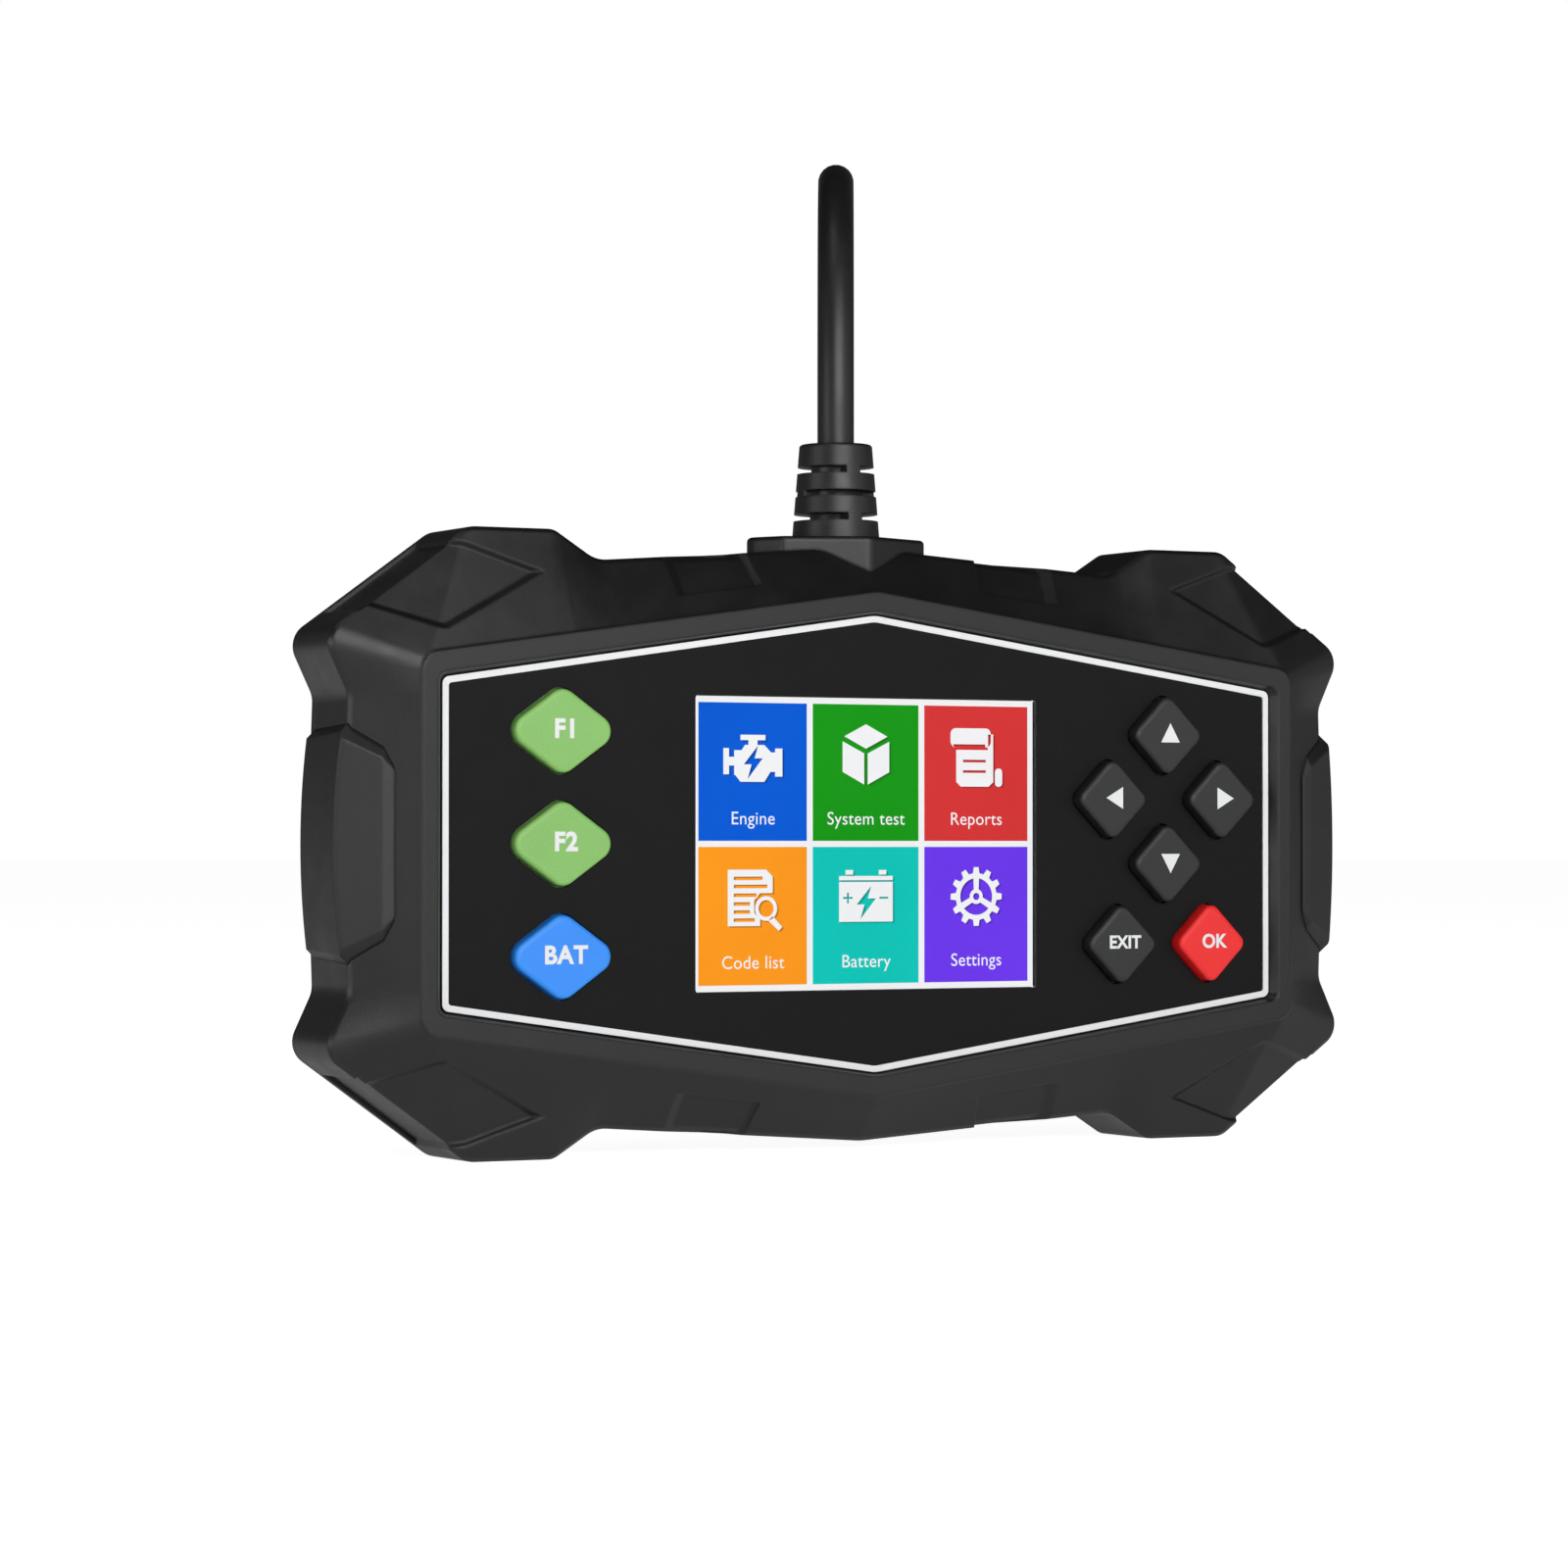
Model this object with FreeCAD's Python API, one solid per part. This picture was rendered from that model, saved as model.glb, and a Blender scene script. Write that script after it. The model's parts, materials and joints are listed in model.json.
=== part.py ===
import FreeCAD, Part
import math
import os

# Handheld vehicle code reader, standing on its two lower corner lobes.
# Millimetres. +Z up, screen facing -Y, +X to the right of someone reading the screen.
# Shapes are drawn in "case space": x from the middle, z from half height, y back from the front panel.
# stand() then moves them so that the origin is the middle of the floor under the case.

V = FreeCAD.Vector

# ---- driving dimensions -------------------------------------------------------------------------
HALF_HEIGHT = 46.1          # case, from its middle to the flat of a corner lobe
FRONT_MOST = -1.9           # top of a key
CASE_BACK = 28.5            # back of the rear shell
SIDE_FRONT = 4.2            # where the flared front meets the side wall
PARTING = 17.2              # joint between the two shells
WALL = 2.2                  # shell wall

RING_FACE = -1.2            # front face of the bezel ring
RING_SIDE, RING_SHOULDER, RING_PEAK = 74.4, 27.5, 38.2
OPENING_SIDE, OPENING_SHOULDER, OPENING_PEAK = 71.75, 24.6, 35.0
PANEL_SIDE, PANEL_SHOULDER, PANEL_PEAK = 70.7, 24.0, 34.42
TRIM_SIDE, TRIM_SHOULDER, TRIM_PEAK = 70.6, 23.95, 34.35
TRIM_WIDTH = 0.95

PANEL_FRONT, PANEL_BACK = 0.25, 1.25
INNER_FACE = 3.0            # inside of the shell's front wall, behind the panel
SCREEN_X = -0.8             # middle of the display
SCREEN_WIDE, SCREEN_HIGH = 57.6, 43.2
WINDOW_MARGIN = 0.4

KEY_FOOT = 2.15             # back of a key's flange
KEY_STEM_END = 6.1
BOARD_FRONT, BOARD_BACK = 7.4, 9.0
SIDE_KEY_X, SIDE_KEY_PITCH = -51.9, 16.42
PAD_X, PAD_Z, PAD_PITCH = 51.0, 6.9, 9.95

LEAD_Y = 12.5               # lead and strain relief axis, behind the panel face
RELIEF_BASE, RELIEF_TOP = 0.35, 14.9   # above the lobes' height
LEAD_DIAMETER = 5.6

CORNER_SCREWS = [(sx * 70.0, sz * 33.0) for sx in (-1, 1) for sz in (-1, 1)]
BOARD_POSTS = [(-40.0, 23.8), (-40.0, -23.8), (36.8, 24.4), (36.8, -24.4), (-66.4, 0.0), (66.4, -4.6)]

SHIFT = V(0, -(FRONT_MOST + CASE_BACK) / 2, HALF_HEIGHT)


# ---- helpers ------------------------------------------------------------------------------------
def stand(shape):
    """Case space to the frame that the object is handed in."""
    moved = shape.copy()
    moved.translate(SHIFT)
    return moved


def save(name, shape):
    shape = shape.removeSplitter()
    print("%-22s valid %s solids %d volume %.1f" % (name, shape.isValid(), len(shape.Solids), shape.Volume))
    shape.exportStep("parts/%s.step" % name)


def save_case(name, shape):
    save(name, stand(shape))


def fuse_all(shapes):
    first = shapes[0]
    return first.multiFuse(shapes[1:]) if len(shapes) > 1 else first


def box(x0, x1, y0, y1, z0, z1):
    return Part.makeBox(x1 - x0, y1 - y0, z1 - z0, V(x0, y0, z0))


def rod(x, z, radius, y0, y1):
    """Cylinder along Y."""
    return Part.makeCylinder(radius, y1 - y0, V(x, y0, z), V(0, 1, 0))


def plate(points, y0, y1):
    """Straight-sided prism along Y from (x, z) corners."""
    corners = [V(x, y0, z) for x, z in points]
    face = Part.Face(Part.makePolygon(corners + corners[:1]))
    return face.extrude(V(0, y1 - y0, 0))


def rounded(points, radii, closed=True):
    """(x, z) corners rounded with the given radii, as a list of edges [(kind, points)] in order."""
    count = len(points)
    cuts = []
    for i in range(count):
        here, radius = points[i], radii[i]
        before, after = points[i - 1], points[(i + 1) % count]
        a = unit(before[0] - here[0], before[1] - here[1])
        b = unit(after[0] - here[0], after[1] - here[1])
        half = math.acos(max(-1.0, min(1.0, a[0] * b[0] + a[1] * b[1]))) / 2
        back = radius / math.tan(half)
        middle = unit(a[0] + b[0], a[1] + b[1])
        reach = radius / math.sin(half) - radius
        cuts.append((
            (here[0] + a[0] * back, here[1] + a[1] * back),
            (here[0] + middle[0] * reach, here[1] + middle[1] * reach),
            (here[0] + b[0] * back, here[1] + b[1] * back),
        ))
    edges = []
    for i in range(count if closed else count - 1):
        edges.append(("arc", cuts[i]))
        edges.append(("line", (cuts[i][2], cuts[(i + 1) % count][0])))
    return edges


def unit(x, z):
    size = math.hypot(x, z)
    return x / size, z / size


def wire_of(edges, y):
    """Edges in the xz plane at depth y, as one closed wire."""
    made = []
    for kind, points in edges:
        at = [V(px, y, pz) for px, pz in points]
        if kind == "arc":
            made.append(Part.Arc(*at).toShape())
        else:
            made.append(Part.LineSegment(*at).toShape())
    return Part.Wire(made)


def prism(points, radii, y0, y1):
    face = Part.Face(wire_of(rounded(points, radii), y0))
    return face.extrude(V(0, y1 - y0, 0))


def layered(sections, rule=True):
    """Solid through [(edges, y)] sections that have the same number of edges."""
    return Part.makeLoft([wire_of(edges, y) for edges, y in sections], True, rule)


def hexagon(side, shoulder, peak):
    return [(side, -shoulder), (side, shoulder), (0, peak), (-side, shoulder), (-side, -shoulder), (0, -peak)]


def hex_prism(side, shoulder, peak, y0, y1, corner=2.0, tip=6.0):
    return prism(hexagon(side, shoulder, peak), [corner, corner, tip] * 2, y0, y1)


def inset_hexagon(side, shoulder, peak, inset):
    """Side, shoulder and peak of the same hexagon drawn inside by inset."""
    slope = (peak - shoulder) / side
    drop = inset * math.sqrt(1 + slope * slope)
    return side - inset, shoulder - drop + slope * inset, peak - drop


# ---- outlines of the case -----------------------------------------------------------------------
# One quarter of the case outline, from the middle of the side to the middle of the top.
WAIST = (83.3, 21.5)
TIP = (87.3, 29.9)
LOBE_OUT = (64.8, HALF_HEIGHT)
LOBE_IN = (51.0, HALF_HEIGHT)
VALLEY = (44.1, 41.75)
CROWN = (0.0, 44.9)
SIDE_MID = (84.0, 0.0)
QUARTER = [SIDE_MID, WAIST, TIP, LOBE_OUT, LOBE_IN, VALLEY, CROWN]
BENDS = [60.0, 4.0, 3.6, 4.0, 3.0, 5.0, 12.0]
HOLLOW = {1, 5}             # corners that bend inwards


def mirrored(edges, flip_x, flip_z):
    """The same edges mirrored; an odd number of flips reverses their order."""
    sx = -1 if flip_x else 1
    sz = -1 if flip_z else 1
    out = [(kind, tuple((sx * px, sz * pz) for px, pz in points)) for kind, points in edges]
    if flip_x != flip_z:
        out = [(kind, points[::-1]) for kind, points in out[::-1]]
    return out


def whole(quarter):
    return (
        quarter
        + mirrored(quarter, True, False)
        + mirrored(quarter, True, True)
        + mirrored(quarter, False, True)
    )


def moved_in(points, inset):
    """Quarter outline's corners with every side moved inwards; its ends stay on the two axes."""
    lines = []
    for a, b in zip(points[:-1], points[1:]):
        ux, uz = unit(b[0] - a[0], b[1] - a[1])
        lines.append(((a[0] - uz * inset, a[1] + ux * inset), (ux, uz)))
    out = []
    for (p, u), (q, w) in zip(lines[:-1], lines[1:]):
        cross = u[0] * w[1] - u[1] * w[0]
        t = ((q[0] - p[0]) * w[1] - (q[1] - p[1]) * w[0]) / cross
        out.append((p[0] + u[0] * t, p[1] + u[1] * t))
    (p, u), (q, w) = lines[0], lines[-1]
    start = (p[0] - u[0] * p[1] / u[1], 0.0)
    end = (0.0, q[1] - w[1] * q[0] / w[0])
    return [start] + out + [end]


def case_outline(inset=0.0):
    """52 edges of the lobed outline, drawn inside by inset."""
    points = moved_in(QUARTER, inset) if inset else list(QUARTER)
    radii = [max(r + (min(inset, WALL) if i in HOLLOW else -inset), 0.8) for i, r in enumerate(BENDS)]
    below = (points[1][0], -points[1][1])
    beyond = (-points[-2][0], points[-2][1])
    chain = rounded([below] + points + [beyond], [1.0] + radii + [1.0], closed=False)[2:]
    half_start = ("arc", half_arc(points[0], radii[0], chain[0][1], False))
    half_end = ("arc", half_arc(points[-1], radii[-1], chain[12][1], True))
    return whole([half_start] + chain[1:12] + [half_end])


def half_arc(corner, radius, arc, first):
    """The half of an end corner's arc that lies in this quarter."""
    a, m, b = arc
    start, end = (a, m) if first else (m, b)
    return start, between(start, end, radius, corner), end


def between(start, end, radius, corner):
    """Middle of the arc from start to end that bulges towards corner."""
    mx, mz = (start[0] + end[0]) / 2, (start[1] + end[1]) / 2
    half = math.dist(start, end) / 2
    rise = radius - math.sqrt(radius * radius - half * half)
    ux, uz = unit(end[1] - start[1], start[0] - end[0])
    if (corner[0] - mx) * ux + (corner[1] - mz) * uz < 0:
        ux, uz = -ux, -uz
    return mx + ux * rise, mz + uz * rise


def ring_outline(inset=0.0, corner=3.0, tip=7.0):
    """The bezel's hexagon cut into the same 52 edges, so that each faces its part of the case outline."""
    side, shoulder, peak = inset_hexagon(RING_SIDE, RING_SHOULDER, RING_PEAK, inset)
    corner, tip = max(corner - inset, 0.8), max(tip - inset, 0.8)
    loop = rounded(hexagon(side, shoulder, peak), [corner, corner, tip] * 2)
    (c0, _, c3), (t0, _, t2) = loop[2][1], loop[4][1]
    slope = (peak - shoulder) / side
    centre = (side - corner, c0[1])
    stop = math.atan2(c3[1] - centre[1], c3[0] - centre[0])

    def on_corner(share):
        angle = stop * share
        return centre[0] + corner * math.cos(angle), centre[1] + corner * math.sin(angle)

    def on_side(z):
        return side, z

    def on_top(x):
        return x, peak - slope * x

    def corner_piece(a, b):
        return "arc", (on_corner(a), on_corner((a + b) / 2), on_corner(b))

    def piece(a, b):
        return "line", (a, b)

    peak_mid = (0.0, loop[4][1][1][1])
    quarter = [
        piece(on_side(0), on_side(1)),
        piece(on_side(1), on_side(19)),
        piece(on_side(19), on_side(21.5)),
        piece(on_side(21.5), on_corner(0)),
        corner_piece(0, 0.45),
        corner_piece(0.45, 0.75),
        corner_piece(0.75, 1),
        piece(on_corner(1), on_top(53)),
        piece(on_top(53), on_top(50)),
        piece(on_top(50), on_top(44.5)),
        piece(on_top(44.5), on_top(40.5)),
        piece(on_top(40.5), t0),
        ("arc", (t0, between(t0, peak_mid, tip, (0.0, peak)), peak_mid)),
    ]
    return whole(quarter)


# ---- front shell --------------------------------------------------------------------------------
def front_mass():
    """Outside of the front shell as one full solid: bezel hexagon flaring to the lobed outline."""
    return layered([
        (ring_outline(0.35), RING_FACE),
        (ring_outline(0.0), RING_FACE + 0.35),
        (case_outline(0.55), SIDE_FRONT - 0.1),
        (case_outline(0.0), SIDE_FRONT + 0.55),
        (case_outline(0.0), PARTING),
    ])


def front_hollow():
    return layered([
        (ring_outline(5.2), INNER_FACE),
        (case_outline(WALL), SIDE_FRONT + 3.0),
        (case_outline(WALL), PARTING + 1.0),
    ])


def recess_tool(mass, region, away, depth):
    """What to cut for a flat-bottomed recess: the skin of mass, depth thick along away, inside region."""
    sunk = mass.copy()
    sunk.translate(V(*away) * -depth)
    return region.cut(sunk)


def leaning_side(p, q, middle, normal, depth, width):
    """Everything on middle's side of a wall that starts at edge p-q and leans inwards by width at depth."""
    p, q, n = V(*p), V(*q), V(*normal)
    n.normalize()
    edge = q - p
    edge.normalize()
    inward = n.cross(edge)
    if inward.dot(V(*middle) - p) < 0:
        inward = inward * -1
    down = inward * width - n * depth
    facing = edge.cross(down)
    if facing.dot(inward) < 0:
        facing = facing * -1
    block = Part.makeBox(160, 160, 80, V(-80, -80, 0))
    block.Placement = FreeCAD.Placement(p, FreeCAD.Rotation(V(0, 0, 1), facing)).multiply(block.Placement)
    return block


def walled_region(chain, widths, middle, normal, depth):
    """Space bounded by one leaning wall for each step of a chain of points on the surface."""
    sides = [
        leaning_side(p, q, middle, normal, depth, width)
        for p, q, width in zip(chain[:-1], chain[1:], widths)
    ]
    region = sides[0]
    for side in sides[1:]:
        region = region.common(side)
    return region


POCKET_DEPTH = 0.8
BAND_DEPTH = 0.7


def corner_pocket(mass, sx, sz):
    """Arrow-shaped recess over a corner, open across the diagonal edge and down its side wall."""
    chain = [(83.6, 4.4, 34.4), (69.7, 0.05, 31.0), (53.5, 2.2, 39.7), (68.6, 4.4, 44.4)]
    chain = [(sx * x, y, sz * z) for x, y, z in chain]
    normal = (sx * 0.15, -0.92, sz * 0.35)
    region = walled_region(chain, (1.1, 1.3, 0.45), (sx * 71, 2.5, sz * 38), normal, POCKET_DEPTH)
    region = region.common(box(-95, 95, RING_FACE, PARTING + 1, -60, 60))
    rim = ((81.9, 33.3), (84.6, 36.9), (71.0, 47.0), (67.4, 44.3), (70.0, 37.0))
    edge = plate([(sx * x, sz * z) for x, z in rim], SIDE_FRONT + 0.2, PARTING + 1)
    side = (sx * 0.585, 0, sz * 0.811)
    return recess_tool(mass, region, normal, POCKET_DEPTH).fuse(recess_tool(mass, edge, side, 0.6))


def band_recess(mass, sx, sz):
    """Shallow recess in the top or bottom flare, open at its outer edge, with a leaning far end."""
    chain = [(20.2, 6.0, 47.0), (18.6, 1.1, 38.5), (32.4, 1.1, 36.7), (34.9, 4.6, 43.8)]
    chain = [(sx * x, y, sz * z) for x, y, z in chain]
    normal = (sx * 0.1, -0.78, sz * 0.62)
    region = walled_region(chain, (0.35, 0.35, 1.7), (sx * 25, 3.0, sz * 42), normal, BAND_DEPTH)
    region = region.common(box(-60, 60, RING_FACE, SIDE_FRONT + 4, -60, 60))
    return recess_tool(mass, region, normal, BAND_DEPTH)


def bezel_opening():
    """Seat of the front panel, with walls that lean out from the panel's edge to the bezel's face."""
    wide = rounded(hexagon(OPENING_SIDE, OPENING_SHOULDER, OPENING_PEAK), [1.5, 1.5, 6.0] * 2)
    seat = rounded(hexagon(PANEL_SIDE + 0.08, PANEL_SHOULDER + 0.08, PANEL_PEAK + 0.08), [1.2, 1.2, 6.0] * 2)
    return layered([(wide, RING_FACE - 1), (wide, RING_FACE), (seat, PANEL_FRONT), (seat, PANEL_BACK)])


def front_shell(mass):
    shell = mass.cut(front_hollow())
    shell = shell.cut(bezel_opening())
    cuts = [corner_pocket(mass, sx, sz) for sx in (-1, 1) for sz in (-1, 1)]
    cuts += [band_recess(mass, sx, sz) for sx in (-1, 1) for sz in (-1, 1)]
    cuts.append(box(SCREEN_X - 36.6, SCREEN_X + 36.6, PANEL_BACK - 0.5, INNER_FACE + 1, -25.6, 25.6))
    for name in KEYS:
        x, z = KEYS[name][:2]
        cuts.append(key_outline(x, z, KEYS[name][3], 1.9, PANEL_BACK - 0.5, INNER_FACE + 1))
    for tool in cuts:
        shell = shell.cut(tool)
    shell = shell.fuse(fuse_all([screw_post(x, z) for x, z in CORNER_SCREWS]))
    shell = shell.fuse(fuse_all([board_post(x, z) for x, z in BOARD_POSTS]))
    shell = shell.cut(fuse_all([rod(x, z, 1.1, 8.0, PARTING + 1) for x, z in CORNER_SCREWS]))
    shell = shell.cut(fuse_all([rod(x, z, 0.9, 4.0, BOARD_FRONT + 1) for x, z in BOARD_POSTS]))
    return shell.cut(lead_passage())


def screw_post(x, z):
    return rod(x, z, 3.4, SIDE_FRONT + 0.6, PARTING)


def board_post(x, z):
    return rod(x, z, 2.4, INNER_FACE - 0.9, BOARD_FRONT)


def lead_passage():
    """Hole through the top wall for the neck of the strain relief."""
    return Part.makeCylinder(5.0, 12.0, V(0, LEAD_Y, 38.0))


# ---- rear shell ---------------------------------------------------------------------------------
BACK_INSET = 8.5
LABEL_WIDE, LABEL_HIGH = 78.0, 42.0


def rear_mass(inset=0.0, back=CASE_BACK):
    """Outside of the rear shell: straight lip, then sides that slope in to the back."""
    return layered([
        (case_outline(0.0 + inset), PARTING),
        (case_outline(0.0 + inset), PARTING + 1.3),
        (case_outline(BACK_INSET + inset), back - 0.8),
        (case_outline(BACK_INSET + 1.0 + inset), back),
    ])


def rear_hollow():
    return layered([
        (case_outline(WALL), PARTING - 1.0),
        (case_outline(WALL), PARTING + 0.8),
        (case_outline(BACK_INSET + WALL), CASE_BACK - WALL),
    ])


def rear_shell():
    shell = rear_mass().cut(rear_hollow())
    posts = [rod(x, z, 3.4, PARTING, CASE_BACK - WALL) for x, z in CORNER_SCREWS]
    shell = shell.fuse(fuse_all(posts))
    shell = shell.common(rear_mass())
    for x, z in CORNER_SCREWS:
        shell = shell.cut(rod(x, z, 1.45, PARTING - 1, CASE_BACK + 1))
        shell = shell.cut(rod(x, z, 2.9, PARTING + 2.4, CASE_BACK + 1))
    label = rounded_slab(0, 0, LABEL_WIDE, LABEL_HIGH, 2.5, CASE_BACK - 0.5, CASE_BACK + 1)
    shell = shell.cut(label)
    for side in (-1, 1):
        for step in range(5):
            x = side * (50.0 + 4.2 * step)
            half = 16.0 - 1.4 * step
            shell = shell.cut(rounded_slab(x, 0, 1.6, 2 * half, 0.75, CASE_BACK - 0.8, CASE_BACK + 1))
    return shell.cut(lead_passage())


def rounded_slab(x, z, wide, high, radius, y0, y1):
    points = [(x + sx * wide / 2, z + sz * high / 2) for sx, sz in ((1, -1), (1, 1), (-1, 1), (-1, -1))]
    return prism(points, [radius] * 4, y0, y1)


def rear_label():
    return rounded_slab(0, 0, LABEL_WIDE - 1.0, LABEL_HIGH - 1.0, 2.0, CASE_BACK - 0.5, CASE_BACK - 0.3)


def case_screws():
    """Four self-tapping screws, one solid each."""
    made = []
    for x, z in CORNER_SCREWS:
        head = rod(x, z, 2.5, PARTING + 2.4, PARTING + 4.2)
        shank = rod(x, z, 1.1, PARTING - 8.0, PARTING + 2.4)
        cross = cross_slot(x, z, 2.6, PARTING + 3.3, PARTING + 5)
        made.append(head.fuse(shank).cut(cross))
    return Part.makeCompound(made)


def cross_slot(x, z, size, y0, y1):
    flat = box(x - size / 2, x + size / 2, y0, y1, z - 0.3, z + 0.3)
    return flat.fuse(box(x - 0.3, x + 0.3, y0, y1, z - size / 2, z + size / 2))


# ---- side grips ---------------------------------------------------------------------------------
GRIP_HALF = 15.4


GRIP_BOW = 126.0


def grip_end(end):
    """Space inside the pad's end walls, which lean in as they rise from the side wall and the flare."""
    foot, bend, tip = (84.2, 4.3, end * (GRIP_HALF + 1.1)), (79.0, 1.6, end * 13.6), (77.6, 0.8, end * 10.6)
    behind = (83.6, PARTING, end * (GRIP_HALF + 1.1))
    on_side = walled_region([behind, foot], (1.2,), (83.6, 10, 0), (1, 0, 0), -1.2)
    on_flare = walled_region([foot, bend, tip], (1.6, 1.0), (81, 3, 0), (0.47, -0.88, 0), -1.0)
    return on_side.common(on_flare)


def grip_pad(mass, side):
    """Bowed pad that wraps from the side wall onto the flare, with leaning end walls."""
    long = GRIP_HALF + 2
    section = [
        (77.6, 0.7), (79.4, 0.95), (86.6, SIDE_FRONT + 0.35), (86.6, PARTING - 0.3), (82.0, PARTING - 0.3),
        (77.6, 3.0),
    ]
    corners = [V(x, y, -long) for x, y in section]
    block = Part.Face(Part.makePolygon(corners + corners[:1])).extrude(V(0, 0, 2 * long))
    bow = Part.makeCylinder(GRIP_BOW, 40.0, V(85.75 - GRIP_BOW, -10, 0), V(0, 1, 0))
    pad = block.common(bow)
    crest = [e for e in pad.Edges if e.BoundBox.XMin > 84 and e.BoundBox.YMax < 6 and e.Length > long]
    pad = pad.makeFillet(0.7, crest)
    pad = pad.common(grip_end(1)).common(grip_end(-1))
    pad = pad if side > 0 else pad.mirror(V(0, 0, 0), V(1, 0, 0))
    return pad.cut(mass)


# ---- front panel --------------------------------------------------------------------------------
def diamond(x, z, half_wide, half_high):
    return [(x + half_wide, z), (x, z + half_high), (x - half_wide, z), (x, z - half_high)]


# name: x, z, kind
KEYS = {
    "key_f1": (SIDE_KEY_X, SIDE_KEY_PITCH, "soft", "wide"),
    "key_f2": (SIDE_KEY_X, 0.0, "soft", "wide"),
    "key_bat": (SIDE_KEY_X, -SIDE_KEY_PITCH, "soft", "wide"),
    "key_up": (PAD_X, PAD_Z + PAD_PITCH, "hard", "square"),
    "key_down": (PAD_X, PAD_Z - PAD_PITCH, "hard", "square"),
    "key_left": (PAD_X - PAD_PITCH, PAD_Z, "hard", "square"),
    "key_right": (PAD_X + PAD_PITCH, PAD_Z, "hard", "square"),
    "key_exit": (PAD_X - 8.3, -15.45, "hard", "square"),
    "key_ok": (PAD_X + 8.0, -15.45, "soft", "square"),
}
DIAMONDS = {"wide": (9.4, 6.6, 2.4), "square": (6.5, 6.5, 1.5)}
KEY_HEIGHT = {"wide": -1.1, "square": FRONT_MOST}


def key_outline(x, z, kind, grow, y0, y1):
    """Rounded diamond of a key's kind, larger by grow all round."""
    half_wide, half_high, radius = DIAMONDS[kind]
    scale = 1 + grow * math.hypot(half_wide, half_high) / (half_wide * half_high)
    points = diamond(x, z, half_wide * scale, half_high * scale)
    return prism(points, [radius + grow] * 4, y0, y1)


def key(name):
    """Cap with a rounded top edge, flange that stops it behind the panel, and stem."""
    x, z, _, kind = KEYS[name]
    top = KEY_HEIGHT[kind]
    cap = key_outline(x, z, kind, 0.0, top, KEY_FOOT - 0.5)
    rim = [edge for edge in cap.Edges if all(abs(v.Point.y - top) < 1e-6 for v in edge.Vertexes)]
    cap = cap.makeFillet(0.6, rim)
    flange = key_outline(x, z, kind, 1.1, PANEL_BACK + 0.1, KEY_FOOT)
    stem = rod(x, z, 1.7, KEY_FOOT - 0.3, KEY_STEM_END)
    return cap.fuse(flange).fuse(stem)


def front_panel():
    """Black plate in the bezel with the window opening and nine key openings."""
    panel = hex_prism(PANEL_SIDE, PANEL_SHOULDER, PANEL_PEAK, PANEL_FRONT, PANEL_BACK, 1.2)
    panel = panel.cut(window_block(0.0, -1, 5))
    for x, z, _, kind in KEYS.values():
        panel = panel.cut(key_outline(x, z, kind, 0.35, -1, 5))
    return panel


def window_block(slack, y0, y1):
    wide = SCREEN_WIDE + 2 * (WINDOW_MARGIN - slack)
    high = SCREEN_HIGH + 2 * (WINDOW_MARGIN - slack)
    return rounded_slab(SCREEN_X, 0, wide, high, 0.5, y0, y1)


def display_window():
    return window_block(0.03, PANEL_FRONT, PANEL_BACK)


def panel_trim():
    """Raised line that frames the panel."""
    inner = inset_hexagon(TRIM_SIDE, TRIM_SHOULDER, TRIM_PEAK, TRIM_WIDTH)
    outer = hex_prism(TRIM_SIDE, TRIM_SHOULDER, TRIM_PEAK, 0.0, PANEL_FRONT, 1.1, 5.0)
    return outer.cut(hex_prism(inner[0], inner[1], inner[2], -1, 1, 0.5, 4.0))


# ---- display ------------------------------------------------------------------------------------
MODULE_WIDE, MODULE_HIGH = 69.2, 50.0


def display_glass():
    return box(SCREEN_X - 32.0, SCREEN_X + 34.0, 1.45, 2.55, -24.0, 24.0)


def display_backlight():
    return box(SCREEN_X - 32.0, SCREEN_X + 33.6, 2.6, 4.6, -23.6, 23.6)


def display_frame():
    """Folded sheet tray that holds the glass and the backlight."""
    half_wide, half_high = MODULE_WIDE / 2, MODULE_HIGH / 2
    tray = box(SCREEN_X - half_wide, SCREEN_X + half_wide, 1.45, 5.0, -half_high, half_high)
    return tray.cut(box(SCREEN_X - 34.3, SCREEN_X + 34.3, 1.0, 4.7, -24.7, 24.7))


def screen_gasket():
    """Foam frame between the panel and the display glass."""
    frame = box(SCREEN_X - 31.4, SCREEN_X + 31.4, PANEL_BACK, 1.45, -23.6, 23.6)
    return frame.cut(box(SCREEN_X - 29.4, SCREEN_X + 29.4, 1, 2, -22.2, 22.2))


def display_flex():
    """Flexible tail that leaves the display's right edge and turns under to the board."""
    run = box(SCREEN_X + 34.65, SCREEN_X + 36.2, 3.9, 4.1, -8, 8)
    drop = box(SCREEN_X + 36.0, SCREEN_X + 36.2, 4.1, BOARD_FRONT, -8, 8)
    return run.fuse(drop)


# ---- keypad and board ---------------------------------------------------------------------------
def keypad_mat(names, x0, x1, z0, z1):
    """Silicone sheet behind the keys with a guide hole round each stem."""
    mat = box(x0, x1, 3.2, 4.2, z0, z1)
    for name in names:
        x, z = KEYS[name][:2]
        collar = rod(x, z, 3.4, 4.2, 5.4)
        mat = mat.fuse(collar)
    for name in names:
        x, z = KEYS[name][:2]
        mat = mat.cut(rod(x, z, 2.1, 2, 7))
    for x, z in BOARD_POSTS:
        mat = mat.cut(rod(x, z, 2.7, 2, 9))
    return mat


def snap_domes():
    """Nine pressed steel domes on the board, one solid each."""
    made = []
    for x, z, _, kind in KEYS.values():
        radius = 4.0 if kind == "wide" else 3.0
        disc = Part.makeCone(radius, radius - 1.2, 0.28, V(x, BOARD_FRONT, z), V(0, -1, 0))
        made.append(disc)
    return Part.makeCompound(made)


BOARD_SIDE, BOARD_HALF = 70.2, 30.0


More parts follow.
